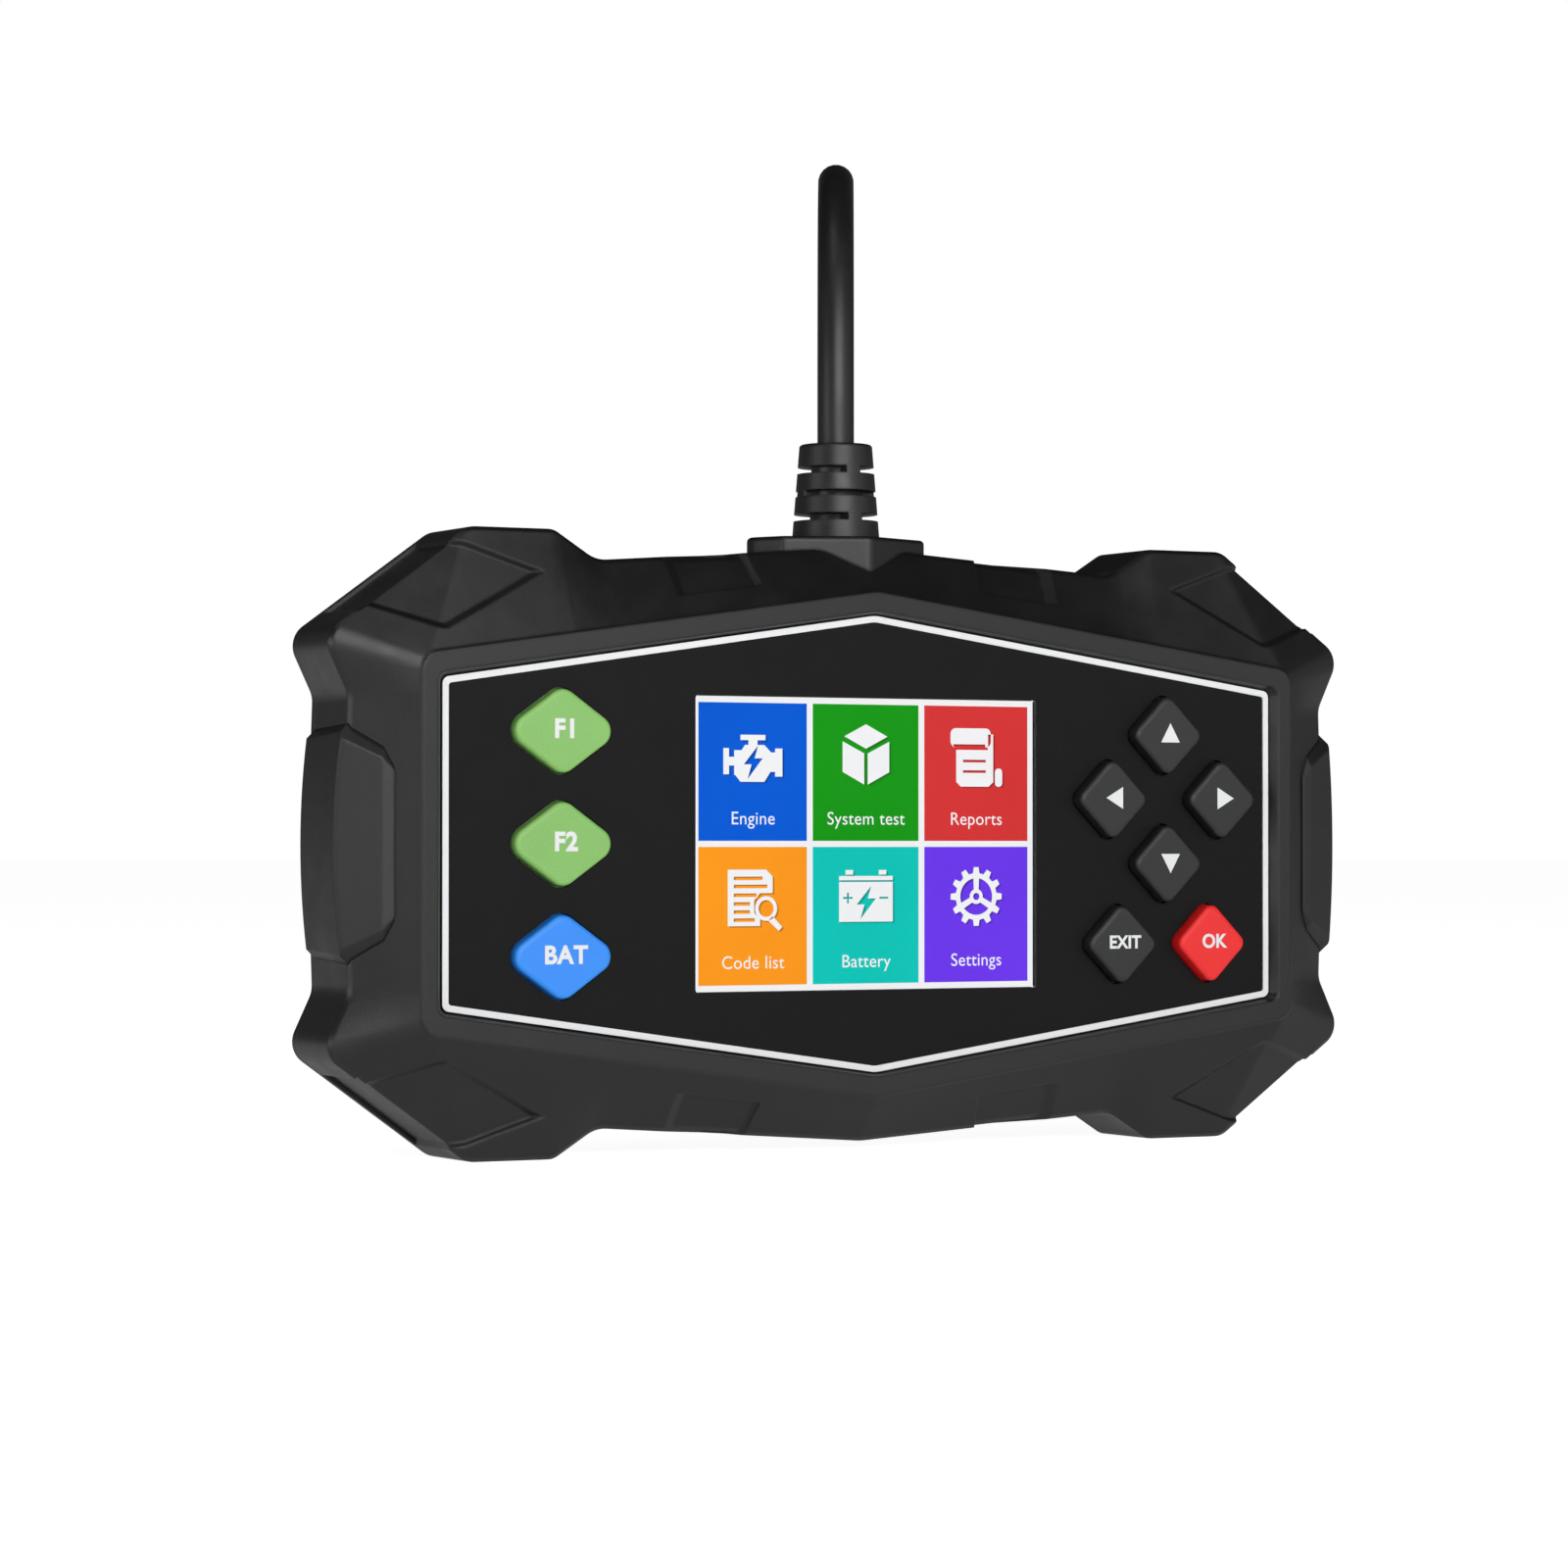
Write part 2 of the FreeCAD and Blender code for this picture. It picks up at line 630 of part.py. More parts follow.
def main_board():
    corners = [(BOARD_SIDE, -20), (BOARD_SIDE, 20), (60.0, BOARD_HALF), (-60.0, BOARD_HALF),
               (-BOARD_SIDE, 20), (-BOARD_SIDE, -20), (-60.0, -BOARD_HALF), (60.0, -BOARD_HALF)]
    board = prism(corners, [1.5] * 8, BOARD_FRONT, BOARD_BACK)
    for x, z in BOARD_POSTS:
        board = board.cut(rod(x, z, 1.25, BOARD_FRONT - 1, BOARD_BACK + 1))
    return board


def board_screws():
    made = []
    for x, z in BOARD_POSTS:
        head = rod(x, z, 2.1, BOARD_BACK, BOARD_BACK + 1.3)
        shank = rod(x, z, 0.9, 5.0, BOARD_BACK)
        made.append(head.fuse(shank).cut(cross_slot(x, z, 2.2, BOARD_BACK + 0.7, BOARD_BACK + 2)))
    return Part.makeCompound(made)


def chip(x, z, wide, high, tall, pins_per_side, pitch):
    """Chip package on the board's back with gull legs along its two long sides."""
    y0 = BOARD_BACK
    body = box(x - wide / 2, x + wide / 2, y0 + 0.1, y0 + tall, z - high / 2, z + high / 2)
    legs = []
    for row in (-1, 1):
        for i in range(pins_per_side):
            px = x + (i - (pins_per_side - 1) / 2) * pitch
            edge = z + row * high / 2
            far = edge + row * 0.9
            legs.append(box(px - 0.14, px + 0.14, y0, y0 + 0.3, min(edge, far), max(edge, far)))
    return fuse_all([body] + legs)


def microcontroller():
    y0 = BOARD_BACK
    body = box(-7, 7, y0 + 0.1, y0 + 1.5, -7, 7)
    legs = []
    for i in range(12):
        at = (i - 5.5) * 1.0
        for row in (-1, 1):
            low, high = sorted((row * 6.9, row * 8.0))
            legs.append(box(at - 0.14, at + 0.14, y0, y0 + 0.3, low, high))
            legs.append(box(low, high, y0, y0 + 0.3, at - 0.14, at + 0.14))
    return fuse_all([body] + legs)


def crystal():
    y0 = BOARD_BACK
    can = rounded_slab(14.5, 3.0, 3.8, 10.2, 1.85, y0, y0 + 3.4)
    flange = rounded_slab(14.5, 3.0, 4.6, 11.0, 2.2, y0, y0 + 0.4)
    return can.fuse(flange)


def capacitors():
    cans = ((-24, 20, 3.1, 6.0), (-32, 20, 3.1, 6.0), (26, -20, 2.5, 5.4), (34, -18, 2.5, 5.4))
    made = []
    for x, z, radius, tall in cans:
        can = rod(x, z, radius, BOARD_BACK + 0.8, BOARD_BACK + tall)
        base = box(x - radius, x + radius, BOARD_BACK, BOARD_BACK + 0.8, z - radius, z + radius)
        made.append(can.fuse(base))
    return Part.makeCompound(made)


def power_inductor():
    y0 = BOARD_BACK
    block = rounded_slab(-42, 12, 7.2, 7.2, 1.2, y0, y0 + 3.6)
    return block.cut(rod(-42, 12, 2.6, y0 + 3.2, y0 + 5).cut(rod(-42, 12, 1.9, y0, y0 + 5)))


def voltage_regulator():
    y0 = BOARD_BACK
    body = box(-59, -52.4, y0, y0 + 2.3, 8, 14.2)
    tab = box(-58.4, -53.0, y0, y0 + 0.6, 14.2, 16.4)
    legs = [box(-58.0 + 2.1 * i, -57.2 + 2.1 * i, y0, y0 + 0.5, 5.8, 8.0) for i in range(3)]
    return fuse_all([body, tab] + legs)


def buzzer():
    y0 = BOARD_BACK
    can = rod(52, 12, 6.0, y0, y0 + 6.5)
    return can.cut(rod(52, 12, 0.9, y0 + 5.4, y0 + 8))


HEADER_X, HEADER_Z = 0.0, 24.0


def cable_header():
    y0 = BOARD_BACK
    shroud = box(HEADER_X - 11, HEADER_X + 11, y0, y0 + 6.0, HEADER_Z - 3.2, HEADER_Z + 3.2)
    return shroud.cut(box(HEADER_X - 10, HEADER_X + 10, y0 + 1.2, y0 + 7, HEADER_Z - 2.3, HEADER_Z + 2.3))


def cable_plug():
    y0 = BOARD_BACK
    return box(HEADER_X - 9.8, HEADER_X + 9.8, y0 + 1.4, y0 + 7.4, HEADER_Z - 2.1, HEADER_Z + 2.1)


def inner_wires():
    """Eight insulated wires from the lead's end down to the plug, one solid each."""
    made = []
    for i in range(8):
        x = HEADER_X + (i - 3.5) * 2.2
        start = V((i - 3.5) * 0.9, LEAD_Y + 1.4, 37.0)
        bend = V(x, BOARD_BACK + 10.4, HEADER_Z)
        end = V(x, BOARD_BACK + 7.4, HEADER_Z)
        rods = [wire_rod(start, bend, 0.55), wire_rod(bend, end, 0.55)]
        made.append(fuse_all(rods + [Part.makeSphere(0.56, bend)]))
    return Part.makeCompound(made)


def wire_rod(a, b, radius):
    along = b - a
    return Part.makeCylinder(radius, along.Length, a, along)


# ---- lead entry ---------------------------------------------------------------------------------
TOP = HALF_HEIGHT


def disc_z(cx, cy, radius, z0, z1, lower=None):
    low = radius if lower is None else lower
    if abs(low - radius) < 1e-9:
        return Part.makeCylinder(radius, z1 - z0, V(cx, cy, z0))
    return Part.makeCone(low, radius, z1 - z0, V(cx, cy, z0))


COLLAR_FRONT, COLLAR_HALF = 1.2, 15.3


def cable_collar(mass, rear):
    """Lozenge-shaped guard that straddles the top edge and runs down over the flare."""
    back = 2 * LEAD_Y - COLLAR_FRONT
    front, rear_row = 6.7, 2 * LEAD_Y - 6.7
    points = [(COLLAR_HALF, LEAD_Y), (12.2, front), (0, COLLAR_FRONT), (-12.2, front), (-COLLAR_HALF, LEAD_Y),
              (-12.2, rear_row), (0, back), (12.2, rear_row)]
    edges = rounded(points, [3.0, 1.0, 1.6, 1.0, 3.0, 1.0, 1.6, 1.0])
    made = []
    for kind, at in edges:
        pts = [V(px, py, TOP - 8.0) for px, py in at]
        made.append((Part.Arc(*pts) if kind == "arc" else Part.LineSegment(*pts)).toShape())
    guard = Part.Face(Part.Wire(made)).extrude(V(0, 0, 8.0 + RELIEF_BASE))
    top = [e for e in guard.Edges if all(abs(v.Point.z - TOP - RELIEF_BASE) < 1e-6 for v in e.Vertexes)]
    guard = guard.makeFillet(0.7, top)
    guard = guard.cut(mass).cut(rear)
    guard = guard.cut(disc_z(0, LEAD_Y, 5.0, TOP - 9, TOP + 9))
    return max(guard.Solids, key=lambda s: s.Volume)


def strain_relief():
    """Ribbed sleeve: four discs on a core, joined by bridges that alternate front-back and left-right."""
    z0, z1 = TOP + RELIEF_BASE, TOP + RELIEF_TOP
    tall = z1 - z0
    levels = [(0.0, 0.193), (0.265, 0.448), (0.51, 0.69), (0.761, 1.0)]
    sleeve = disc_z(0, LEAD_Y, 5.55, z0, z1, 6.7)
    rim = [e for e in sleeve.Edges if abs(e.BoundBox.ZMin - z1) < 1e-6 and e.Closed]
    sleeve = sleeve.makeFillet(0.5, rim)
    bridge = 2.3
    for i, (low, high) in enumerate(zip(levels[:-1], levels[1:])):
        gap = disc_z(0, LEAD_Y, 12, z0 + low[1] * tall, z0 + high[0] * tall)
        gap = gap.cut(disc_z(0, LEAD_Y, 3.75, z0, z1))
        keep = box(-bridge / 2, bridge / 2, LEAD_Y - 20, LEAD_Y + 20, z0, z1)
        if i == 1:
            keep = box(-20, 20, LEAD_Y - bridge / 2, LEAD_Y + bridge / 2, z0, z1)
        sleeve = sleeve.cut(gap.cut(keep))
    neck = disc_z(0, LEAD_Y, 4.9, TOP - 6.6, z0)
    flange = disc_z(0, LEAD_Y, 6.0, TOP - 8.6, TOP - 6.6)
    return sleeve.fuse(neck).fuse(flange)


def cable_clamp():
    """Bar across the inside of the case that traps the strain relief's flange."""
    return box(-10, 10, 18.6, 20.2, TOP - 9.4, TOP - 6.8)


# ---- the lead, drawn in the standing frame ------------------------------------------------------
# The lead leaves upwards, arches back and comes down behind the case into a tied coil.
LEAD_ROUTE = [
    (0.0, -0.8, TOP * 2 + RELIEF_TOP), (0.0, -0.8, 133.2), (8.7, 15.4, 151.6), (21.0, 38.3, 151.6),
    (29.6, 54.6, 133.2), (31.6, 58.2, 104.0), (32.2, 59.4, 76.0), (32.7, 60.4, 54.0), (33.0, 60.9, 33.0),
    (25.5, 64.9, 18.2), (12.6, 71.9, 9.4), (-2.4, 80.0, 9.4),
]
# From the coil's lowest turn along the surface to the connector.
TAIL_ROUTE = [
    (29.6, 138.5, 3.5), (45.0, 134.3, 3.5), (57.3, 124.0, 5.0), (64.0, 109.5, 10.2), (64.0, 93.5, 11.2),
]
COIL_X, COIL_Y, COIL_MIDDLE = 20.8, 105.8, 31.0
COIL_HALF = 5.9
COIL_LOW, COIL_HIGH = 0.7, 12.4
PLUG_X, PLUG_Y, PLUG_Z = 64.0, 93.5, 11.2


def lead_tube(name, route):
    """Straight runs joined by tangent arcs, each as large as its two runs allow."""
    points = [V(*p) for p in route]
    edges = []
    last = points[0]
    length = 0.0
    radii = []
    for before, here, after in zip(points[:-2], points[1:-1], points[2:]):
        a, b = before - here, after - here
        short = min(a.Length, b.Length)
        a.normalize()
        b.normalize()
        half_turn = (math.pi - a.getAngle(b)) / 2
        reach = 0.45 * short
        radius = reach / math.tan(half_turn)
        radii.append(round(radius, 1))
        middle = a + b
        middle.normalize()
        depth = radius / math.cos(half_turn) - radius
        start, end = here + a * reach, here + b * reach
        edges.append(Part.LineSegment(last, start).toShape())
        edges.append(Part.Arc(start, here + middle * depth, end).toShape())
        last = end
    edges.append(Part.LineSegment(last, points[-1]).toShape())
    path = Part.Wire(edges)
    length = path.Length
    along = points[1] - points[0]
    ring = Part.Wire(Part.makeCircle(LEAD_DIAMETER / 2, points[0], along))
    tube = path.makePipeShell([ring], True, False)
    ratio = tube.Volume / (math.pi * LEAD_DIAMETER ** 2 / 4 * length)
    print(name, "radii", radii, "length %.1f" % length, "volume ratio %.4f" % ratio)
    return tube


def lead_coil():
    """Outer shape of the tied turns."""
    r0, r1 = COIL_MIDDLE - COIL_HALF, COIL_MIDDLE + COIL_HALF
    corners = [(r0, COIL_LOW), (r1, COIL_LOW), (r1, COIL_HIGH), (r0, COIL_HIGH)]
    section = Part.Face(wire_of(rounded(corners, [2.6] * 4), 0))
    ring = section.revolve(V(0, 0, 0), V(0, 0, 1), 360)
    ring.translate(V(COIL_X, COIL_Y, 0))
    return ring


TIE_ANGLE = 155.0


def coil_tie(coil):
    """Soft strap round the bundle."""
    r0, r1 = COIL_MIDDLE - COIL_HALF - 0.8, COIL_MIDDLE + COIL_HALF + 0.8
    strap = box(r0, r1, -5, 5, 0.02, COIL_HIGH + 0.7)
    edges = [e for e in strap.Edges if abs(e.BoundBox.YLength - 10) < 1e-6]
    strap = strap.makeFillet(2.9, edges)
    strap.rotate(V(0, 0, 0), V(0, 0, 1), TIE_ANGLE)
    strap.translate(V(COIL_X, COIL_Y, 0))
    return strap.cut(coil)


# ---- vehicle connector, drawn along +Y from the end of the lead ---------------------------------
CUFF_LONG, BODY_LONG, NOSE_LONG = 13.0, 26.0, 13.0
NOSE_TOP, NOSE_BASE, NOSE_HIGH = 33.4, 38.0, 16.6
NOSE_WALL = 1.4


def d_outline(grow):
    """Keyed trapezoid of the sixteen-way socket, wider below."""
    high = NOSE_HIGH / 2 + grow
    return [(NOSE_BASE / 2 + grow, -high), (NOSE_TOP / 2 + grow, high), (-NOSE_TOP / 2 - grow, high),
            (-NOSE_BASE / 2 - grow, -high)]


def connector_body():
    """Overmoulded grip, waisted in the middle of its length, with a pocket for the contact block."""
    levels = [(0.0, 27.0, 17.0), (4.0, 36.0, 21.0), (11.0, 38.5, 21.6), (18.0, 42.6, 22.0),
              (BODY_LONG, 43.0, 22.0)]
    y0 = CUFF_LONG
    wires = []
    for back, wide, high in levels:
        points = [(sx * wide / 2, sz * high / 2) for sx, sz in ((1, -1), (1, 1), (-1, 1), (-1, -1))]
        wires.append((rounded(points, [5.0] * 4), y0 + back))
    body = layered(wires)
    body = body.cut(prism(d_outline(0.0), [2.0] * 4, y0 + BODY_LONG - 8.0, y0 + BODY_LONG + 1))
    for side in (-1, 1):
        for i in range(5):
            y = y0 + 7.0 + 2.6 * i
            body = body.cut(box(side * 21.0 - 3.2, side * 21.0 + 3.2, y, y + 1.0, -6.5, 6.5))
    return body.cut(Part.makeCylinder(4.2, 9.0, V(0, y0 - 1, 0), V(0, 1, 0)))


def connector_nose():
    """Keyed shroud round the contacts."""
    y0 = CUFF_LONG + BODY_LONG
    nose = prism(d_outline(0.0), [2.0] * 4, y0 - 8.0, y0 + NOSE_LONG)
    nose = nose.cut(prism(d_outline(-NOSE_WALL), [1.0] * 4, y0 - 9.0, y0 + NOSE_LONG + 1))
    return nose.cut(box(-2.2, 2.2, y0 + 3.0, y0 + NOSE_LONG + 1, NOSE_HIGH / 2 - 2, NOSE_HIGH / 2 + 1))


CONTACT_ROW = 4.2
CONTACT_PITCH = 4.0


def contact_places():
    return [((i - 3.5) * CONTACT_PITCH, row * CONTACT_ROW) for row in (-1, 1) for i in range(8)]


def contact_block():
    y0 = CUFF_LONG + BODY_LONG
    block = prism(d_outline(-NOSE_WALL), [1.0] * 4, y0 - 8.0, y0 - 1.0)
    slots = [box(x - 1.0, x + 1.0, y0 - 9, y0, z - 0.5, z + 0.5) for x, z in contact_places()]
    return block.cut(fuse_all(slots))


def connector_contacts():
    """Sixteen blade contacts with chamfered tips, one solid each."""
    y0 = CUFF_LONG + BODY_LONG
    made = []
    for x, z in contact_places():
        blade = box(x - 1.0, x + 1.0, y0 - 8.0, y0 + 8.5, z - 0.5, z + 0.5)
        tip = [e for e in blade.Edges if abs(e.BoundBox.YMin - y0 - 8.5) < 1e-6]
        made.append(blade.makeChamfer(0.3, tip))
    return Part.makeCompound(made)


def connector_cuff():
    """Ribbed cone where the lead enters the connector."""
    y0 = 0.0
    cone = Part.makeCone(4.0, 6.2, CUFF_LONG, V(0, y0, 0), V(0, 1, 0))
    for i in range(4):
        y = y0 + 1.8 + 2.6 * i
        ring = Part.makeCylinder(9, 1.2, V(0, y, 0), V(0, 1, 0))
        ring = ring.cut(Part.makeCylinder(3.4 + 0.35 * i, 3, V(0, y - 1, 0), V(0, 1, 0)))
        keep = box(-9, 9, y - 1, y + 3, -1, 1) if i % 2 else box(-1, 1, y - 1, y + 3, -9, 9)
        cone = cone.cut(ring.cut(keep))
    return cone.fuse(Part.makeCylinder(4.2, 7.5, V(0, y0 + CUFF_LONG, 0), V(0, 1, 0)))


def laid(shape):
    """Connector space to its place on the surface."""
    moved = shape.copy()
    moved.rotate(V(0, 0, 0), V(0, 0, 1), 180)
    moved.translate(V(PLUG_X, PLUG_Y, PLUG_Z))
    return moved


# ---- make everything ----------------------------------------------------------------------------
def make_case():
    mass = front_mass()
    rear = rear_mass()
    save_case("front_shell", front_shell(mass))
    save_case("rear_shell", rear_shell())
    save_case("grip_pad_right", grip_pad(mass, 1))
    save_case("grip_pad_left", grip_pad(mass, -1))
    save_case("front_panel", front_panel())
    save_case("display_window", display_window())
    save_case("panel_trim", panel_trim())
    save_case("cable_collar", cable_collar(mass, rear))
    save_case("strain_relief", strain_relief())
    save_case("rear_label", rear_label())
    save_case("case_screws", case_screws())


def make_inside():
    save_case("display_glass", display_glass())
    save_case("display_backlight", display_backlight())
    save_case("display_frame", display_frame())
    save_case("screen_gasket", screen_gasket())
    save_case("display_flex", display_flex())
    save_case("keypad_mat_left", keypad_mat(["key_f1", "key_f2", "key_bat"], -62.0, -40.5, -23.0, 23.0))
    save_case("keypad_mat_right",
              keypad_mat(["key_up", "key_down", "key_left", "key_right", "key_exit", "key_ok"],
                         37.0, 66.6, -22.4, 22.4))
    save_case("snap_domes", snap_domes())
    save_case("main_board", main_board())
    save_case("board_screws", board_screws())
    save_case("microcontroller", microcontroller())
    save_case("flash_memory", chip(-14.0, -16.0, 5.2, 5.2, 1.9, 4, 1.27))
    save_case("bus_transceivers", Part.makeCompound([
        chip(12.0 + 9.0 * i, 18.0, 5.0, 4.0, 1.6, 4, 1.27) for i in range(2)
    ]))
    save_case("crystal", crystal())
    save_case("capacitors", capacitors())
    save_case("power_inductor", power_inductor())
    save_case("voltage_regulator", voltage_regulator())
    save_case("buzzer", buzzer())
    save_case("cable_header", cable_header())
    save_case("cable_plug", cable_plug())
    save_case("inner_wires", inner_wires())
    save_case("cable_clamp", cable_clamp())


def make_keys():
    for name in KEYS:
        save_case(name, key(name))


def make_lead():
    coil = lead_coil()
    tie = coil_tie(coil)
    save("lead_coil", coil)
    save("coil_tie", tie)
    cuff = laid(connector_cuff())
    leg = lead_tube("lead", LEAD_ROUTE).cut(coil)
    tail = lead_tube("lead_tail", TAIL_ROUTE).cut(coil).cut(cuff)
    save("lead", max(leg.Solids, key=lambda s: s.Volume))
    save("lead_tail", max(tail.Solids, key=lambda s: s.Volume))
    save("connector_cuff", cuff)
    save("connector_body", laid(connector_body()))
    save("connector_nose", laid(connector_nose()))
    save("contact_block", laid(contact_block()))
    save("connector_contacts", laid(connector_contacts()))


os.makedirs("parts", exist_ok=True)
make_case()
make_inside()
make_keys()
make_lead()
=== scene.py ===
import json
import math
import bmesh
import bpy
from mathutils import Matrix, Vector


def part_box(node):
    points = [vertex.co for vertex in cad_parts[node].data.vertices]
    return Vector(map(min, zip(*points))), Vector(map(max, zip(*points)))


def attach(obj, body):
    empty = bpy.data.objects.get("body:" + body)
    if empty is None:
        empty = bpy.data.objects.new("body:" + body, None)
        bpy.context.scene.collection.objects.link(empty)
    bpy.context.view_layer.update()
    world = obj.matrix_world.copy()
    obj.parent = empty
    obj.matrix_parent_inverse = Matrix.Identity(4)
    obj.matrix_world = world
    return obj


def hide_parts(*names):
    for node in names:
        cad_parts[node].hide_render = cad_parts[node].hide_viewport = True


# Looks of a handheld vehicle code reader that stands upright on the floor, its lead looping over its
# back to a tied coil. Metres, in the CAD frame: +Z up, screen facing -Y, floor at z = 0.

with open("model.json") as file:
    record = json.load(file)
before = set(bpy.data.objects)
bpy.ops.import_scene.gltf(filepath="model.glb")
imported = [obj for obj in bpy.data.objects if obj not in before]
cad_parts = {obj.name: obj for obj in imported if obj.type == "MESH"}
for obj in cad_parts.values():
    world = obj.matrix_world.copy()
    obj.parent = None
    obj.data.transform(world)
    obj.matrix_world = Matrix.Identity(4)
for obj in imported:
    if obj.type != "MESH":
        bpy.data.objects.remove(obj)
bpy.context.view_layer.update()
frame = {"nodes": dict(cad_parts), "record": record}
nodes = frame["nodes"]
MM = 0.001

# ---- camera -------------------------------------------------------------------------------------
EYE = Vector((-0.3295, -0.6165, 0.0461))
HEADING = math.radians(27.505)      # clockwise from +Y, seen from above
TILT = math.radians(0.7513)
LENS = 104.856


def make_camera():
    data = bpy.data.cameras.new("camera")
    data.lens = LENS
    data.sensor_width = 36.0
    data.clip_start = 0.01
    camera = bpy.data.objects.new("camera", data)
    camera.location = EYE
    camera.rotation_euler = (math.pi / 2 + TILT, 0, -HEADING)
    bpy.context.scene.collection.objects.link(camera)
    bpy.context.scene.camera = camera


# ---- lead ---------------------------------------------------------------------------------------
LEAD = 5.6 * MM
FACETS = 1.01                       # the flats of a bevelled curve lie this much inside its true radius
EXIT = (0.0, -0.0008, 0.1071)
# Up out of the strain relief, over and down behind the case, then on to the coil.
ARCH = [
    EXIT, (0.0, -0.0008, 0.1332), (0.0087, 0.0154, 0.1516), (0.0210, 0.0383, 0.1516),
    (0.0296, 0.0546, 0.1332), (0.0316, 0.0582, 0.1040), (0.0322, 0.0594, 0.0760), (0.0327, 0.0604, 0.0540),
    (0.0330, 0.0609, 0.0330), (0.0255, 0.0649, 0.0182), (0.0126, 0.0719, 0.0094),
]
# From the coil's lowest turn along the floor to the connector.
TAIL = [
    (0.0450, 0.1343, 0.0035), (0.0573, 0.1240, 0.0050), (0.0640, 0.1095, 0.0102), (0.0640, 0.0935, 0.0112),
]
COIL = (0.0208, 0.1058, 0.00655)    # middle of the bundle's section, seen from above its axis
COIL_MIDDLE = 0.031
HALF_PITCH = 2.82 * MM              # half the distance between neighbouring turns
COIL_START, COIL_SWEEP = math.radians(241.8), math.radians(1246.8)
CROSSOVER, CROSSOVER_HALF = math.radians(281.8), math.radians(40.0)
LIFT = 1.1 * MM
TURN_POINTS = 16


def coil_points():
    """Two by two turns: top outer, top inner, bottom inner, bottom outer. They all step to the next
    place in one sector, going round the middle of the bundle, where they are lifted clear of the floor."""
    count = round(COIL_SWEEP / math.tau * TURN_POINTS)
    step = COIL_SWEEP / count
    points = []
    for i in range(count):
        done = (i + 0.5) * step
        angle = COIL_START - done
        place = 45.0
        lift = 0.0
        for lap in range(3):
            share = (done - (CROSSOVER + math.tau * lap - CROSSOVER_HALF)) / (2 * CROSSOVER_HALF)
            share = min(max(share, 0.0), 1.0)
            place += 90.0 * share * share * (3 - 2 * share)
            lift += LIFT * math.sin(math.pi * share) ** 2
        around = math.radians(place)
        radius = COIL_MIDDLE + HALF_PITCH * math.sqrt(2) * math.cos(around)
        outward = radius / math.cos(step / 2)
        points.append((
            COIL[0] + outward * math.cos(angle),
            COIL[1] + outward * math.sin(angle),
            COIL[2] + HALF_PITCH * math.sqrt(2) * math.sin(around) + lift,
        ))
    return points


def make_lead():
    """One open spline from the strain relief to the connector."""
    curve = bpy.data.curves.new("lead_cord", "CURVE")
    curve.dimensions = "3D"
    curve.bevel_depth = LEAD / 2 * FACETS
    curve.bevel_resolution = 8
    curve.resolution_u = 8
    curve.use_fill_caps = True
    points = ARCH + coil_points() + TAIL
    spline = curve.splines.new("NURBS")
    spline.points.add(len(points) - 1)
    for point, place in zip(spline.points, points):
        point.co = (*place, 1.0)
    spline.order_u = 3
    spline.use_endpoint_u = True
    cord = bpy.data.objects.new("lead_cord", curve)
    bpy.context.scene.collection.objects.link(cord)
    return cord


# ---- materials ----------------------------------------------------------------------------------
class Shader:
    """Small helper that keeps a material's nodes and links short to write."""

    def __init__(self, name):
        self.material = bpy.data.materials.new(name)
        self.material.use_nodes = True
        self.tree = self.material.node_tree
        self.surface = self.tree.nodes["Principled BSDF"]
        self.place = self.add("ShaderNodeTexCoord").outputs["Object"]

    def add(self, kind, **settings):
        node = self.tree.nodes.new(kind)
        for key, value in settings.items():
            setattr(node, key, value)
        return node

    def join(self, source, target):
        self.tree.links.new(source, target)

    def noise(self, size, detail=3.0, rough=0.55, stretch=None):
        """Noise with features of that size in metres."""
        node = self.add("ShaderNodeTexNoise")
        node.inputs["Scale"].default_value = 1.0 / size
        node.inputs["Detail"].default_value = detail
        node.inputs["Roughness"].default_value = rough
        source = self.place
        if stretch:
            mapping = self.add("ShaderNodeMapping")
            mapping.inputs["Scale"].default_value = stretch
            self.join(source, mapping.inputs["Vector"])
            source = mapping.outputs["Vector"]
        self.join(source, node.inputs["Vector"])
        return node.outputs["Fac"]

    def between(self, value, low, high, start=0.3, end=0.7):
        node = self.add("ShaderNodeMapRange")
        node.inputs["From Min"].default_value = start
        node.inputs["From Max"].default_value = end
        node.inputs["To Min"].default_value = low
        node.inputs["To Max"].default_value = high
        self.join(value, node.inputs["Value"])
        return node.outputs["Result"]

    def mix(self, share, a, b):
        node = self.add("ShaderNodeMix", data_type="RGBA")
        self.join(share, node.inputs["Factor"])
        for socket, value in (("A", a), ("B", b)):
            target = [s for s in node.inputs if s.name == socket and s.type == "RGBA"][0]
            if isinstance(value, bpy.types.NodeSocket):
                self.join(value, target)
            else:
                target.default_value = (*value, 1.0)
        return [s for s in node.outputs if s.type == "RGBA"][0]

    def bump(self, height, depth, under=None, strength=1.0):
        node = self.add("ShaderNodeBump")
        node.inputs["Strength"].default_value = strength
        node.inputs["Distance"].default_value = depth
        self.join(height, node.inputs["Height"])
        if under:
            self.join(under, node.inputs["Normal"])
        return node.outputs["Normal"]

    def softened(self, radius):
        """Normals rounded over edges by radius."""
        node = self.add("ShaderNodeBevel", samples=4)
        node.inputs["Radius"].default_value = radius
        return node.outputs["Normal"]

    def edge_mask(self, soft):
        """0 on faces, rising to 1 where the rounded normal leaves the true one."""
        geometry = self.add("ShaderNodeNewGeometry")
        dot = self.add("ShaderNodeVectorMath", operation="DOT_PRODUCT")
        self.join(soft, dot.inputs[0])
        self.join(geometry.outputs["Normal"], dot.inputs[1])
        return self.between(dot.outputs["Value"], 1.0, 0.0, 0.90, 0.995)

    def set(self, **values):
        for key, value in values.items():
            self.surface.inputs[key.replace("_", " ")].default_value = value


def shade(colour, factor):
    return tuple(min(c * factor, 1.0) for c in colour)


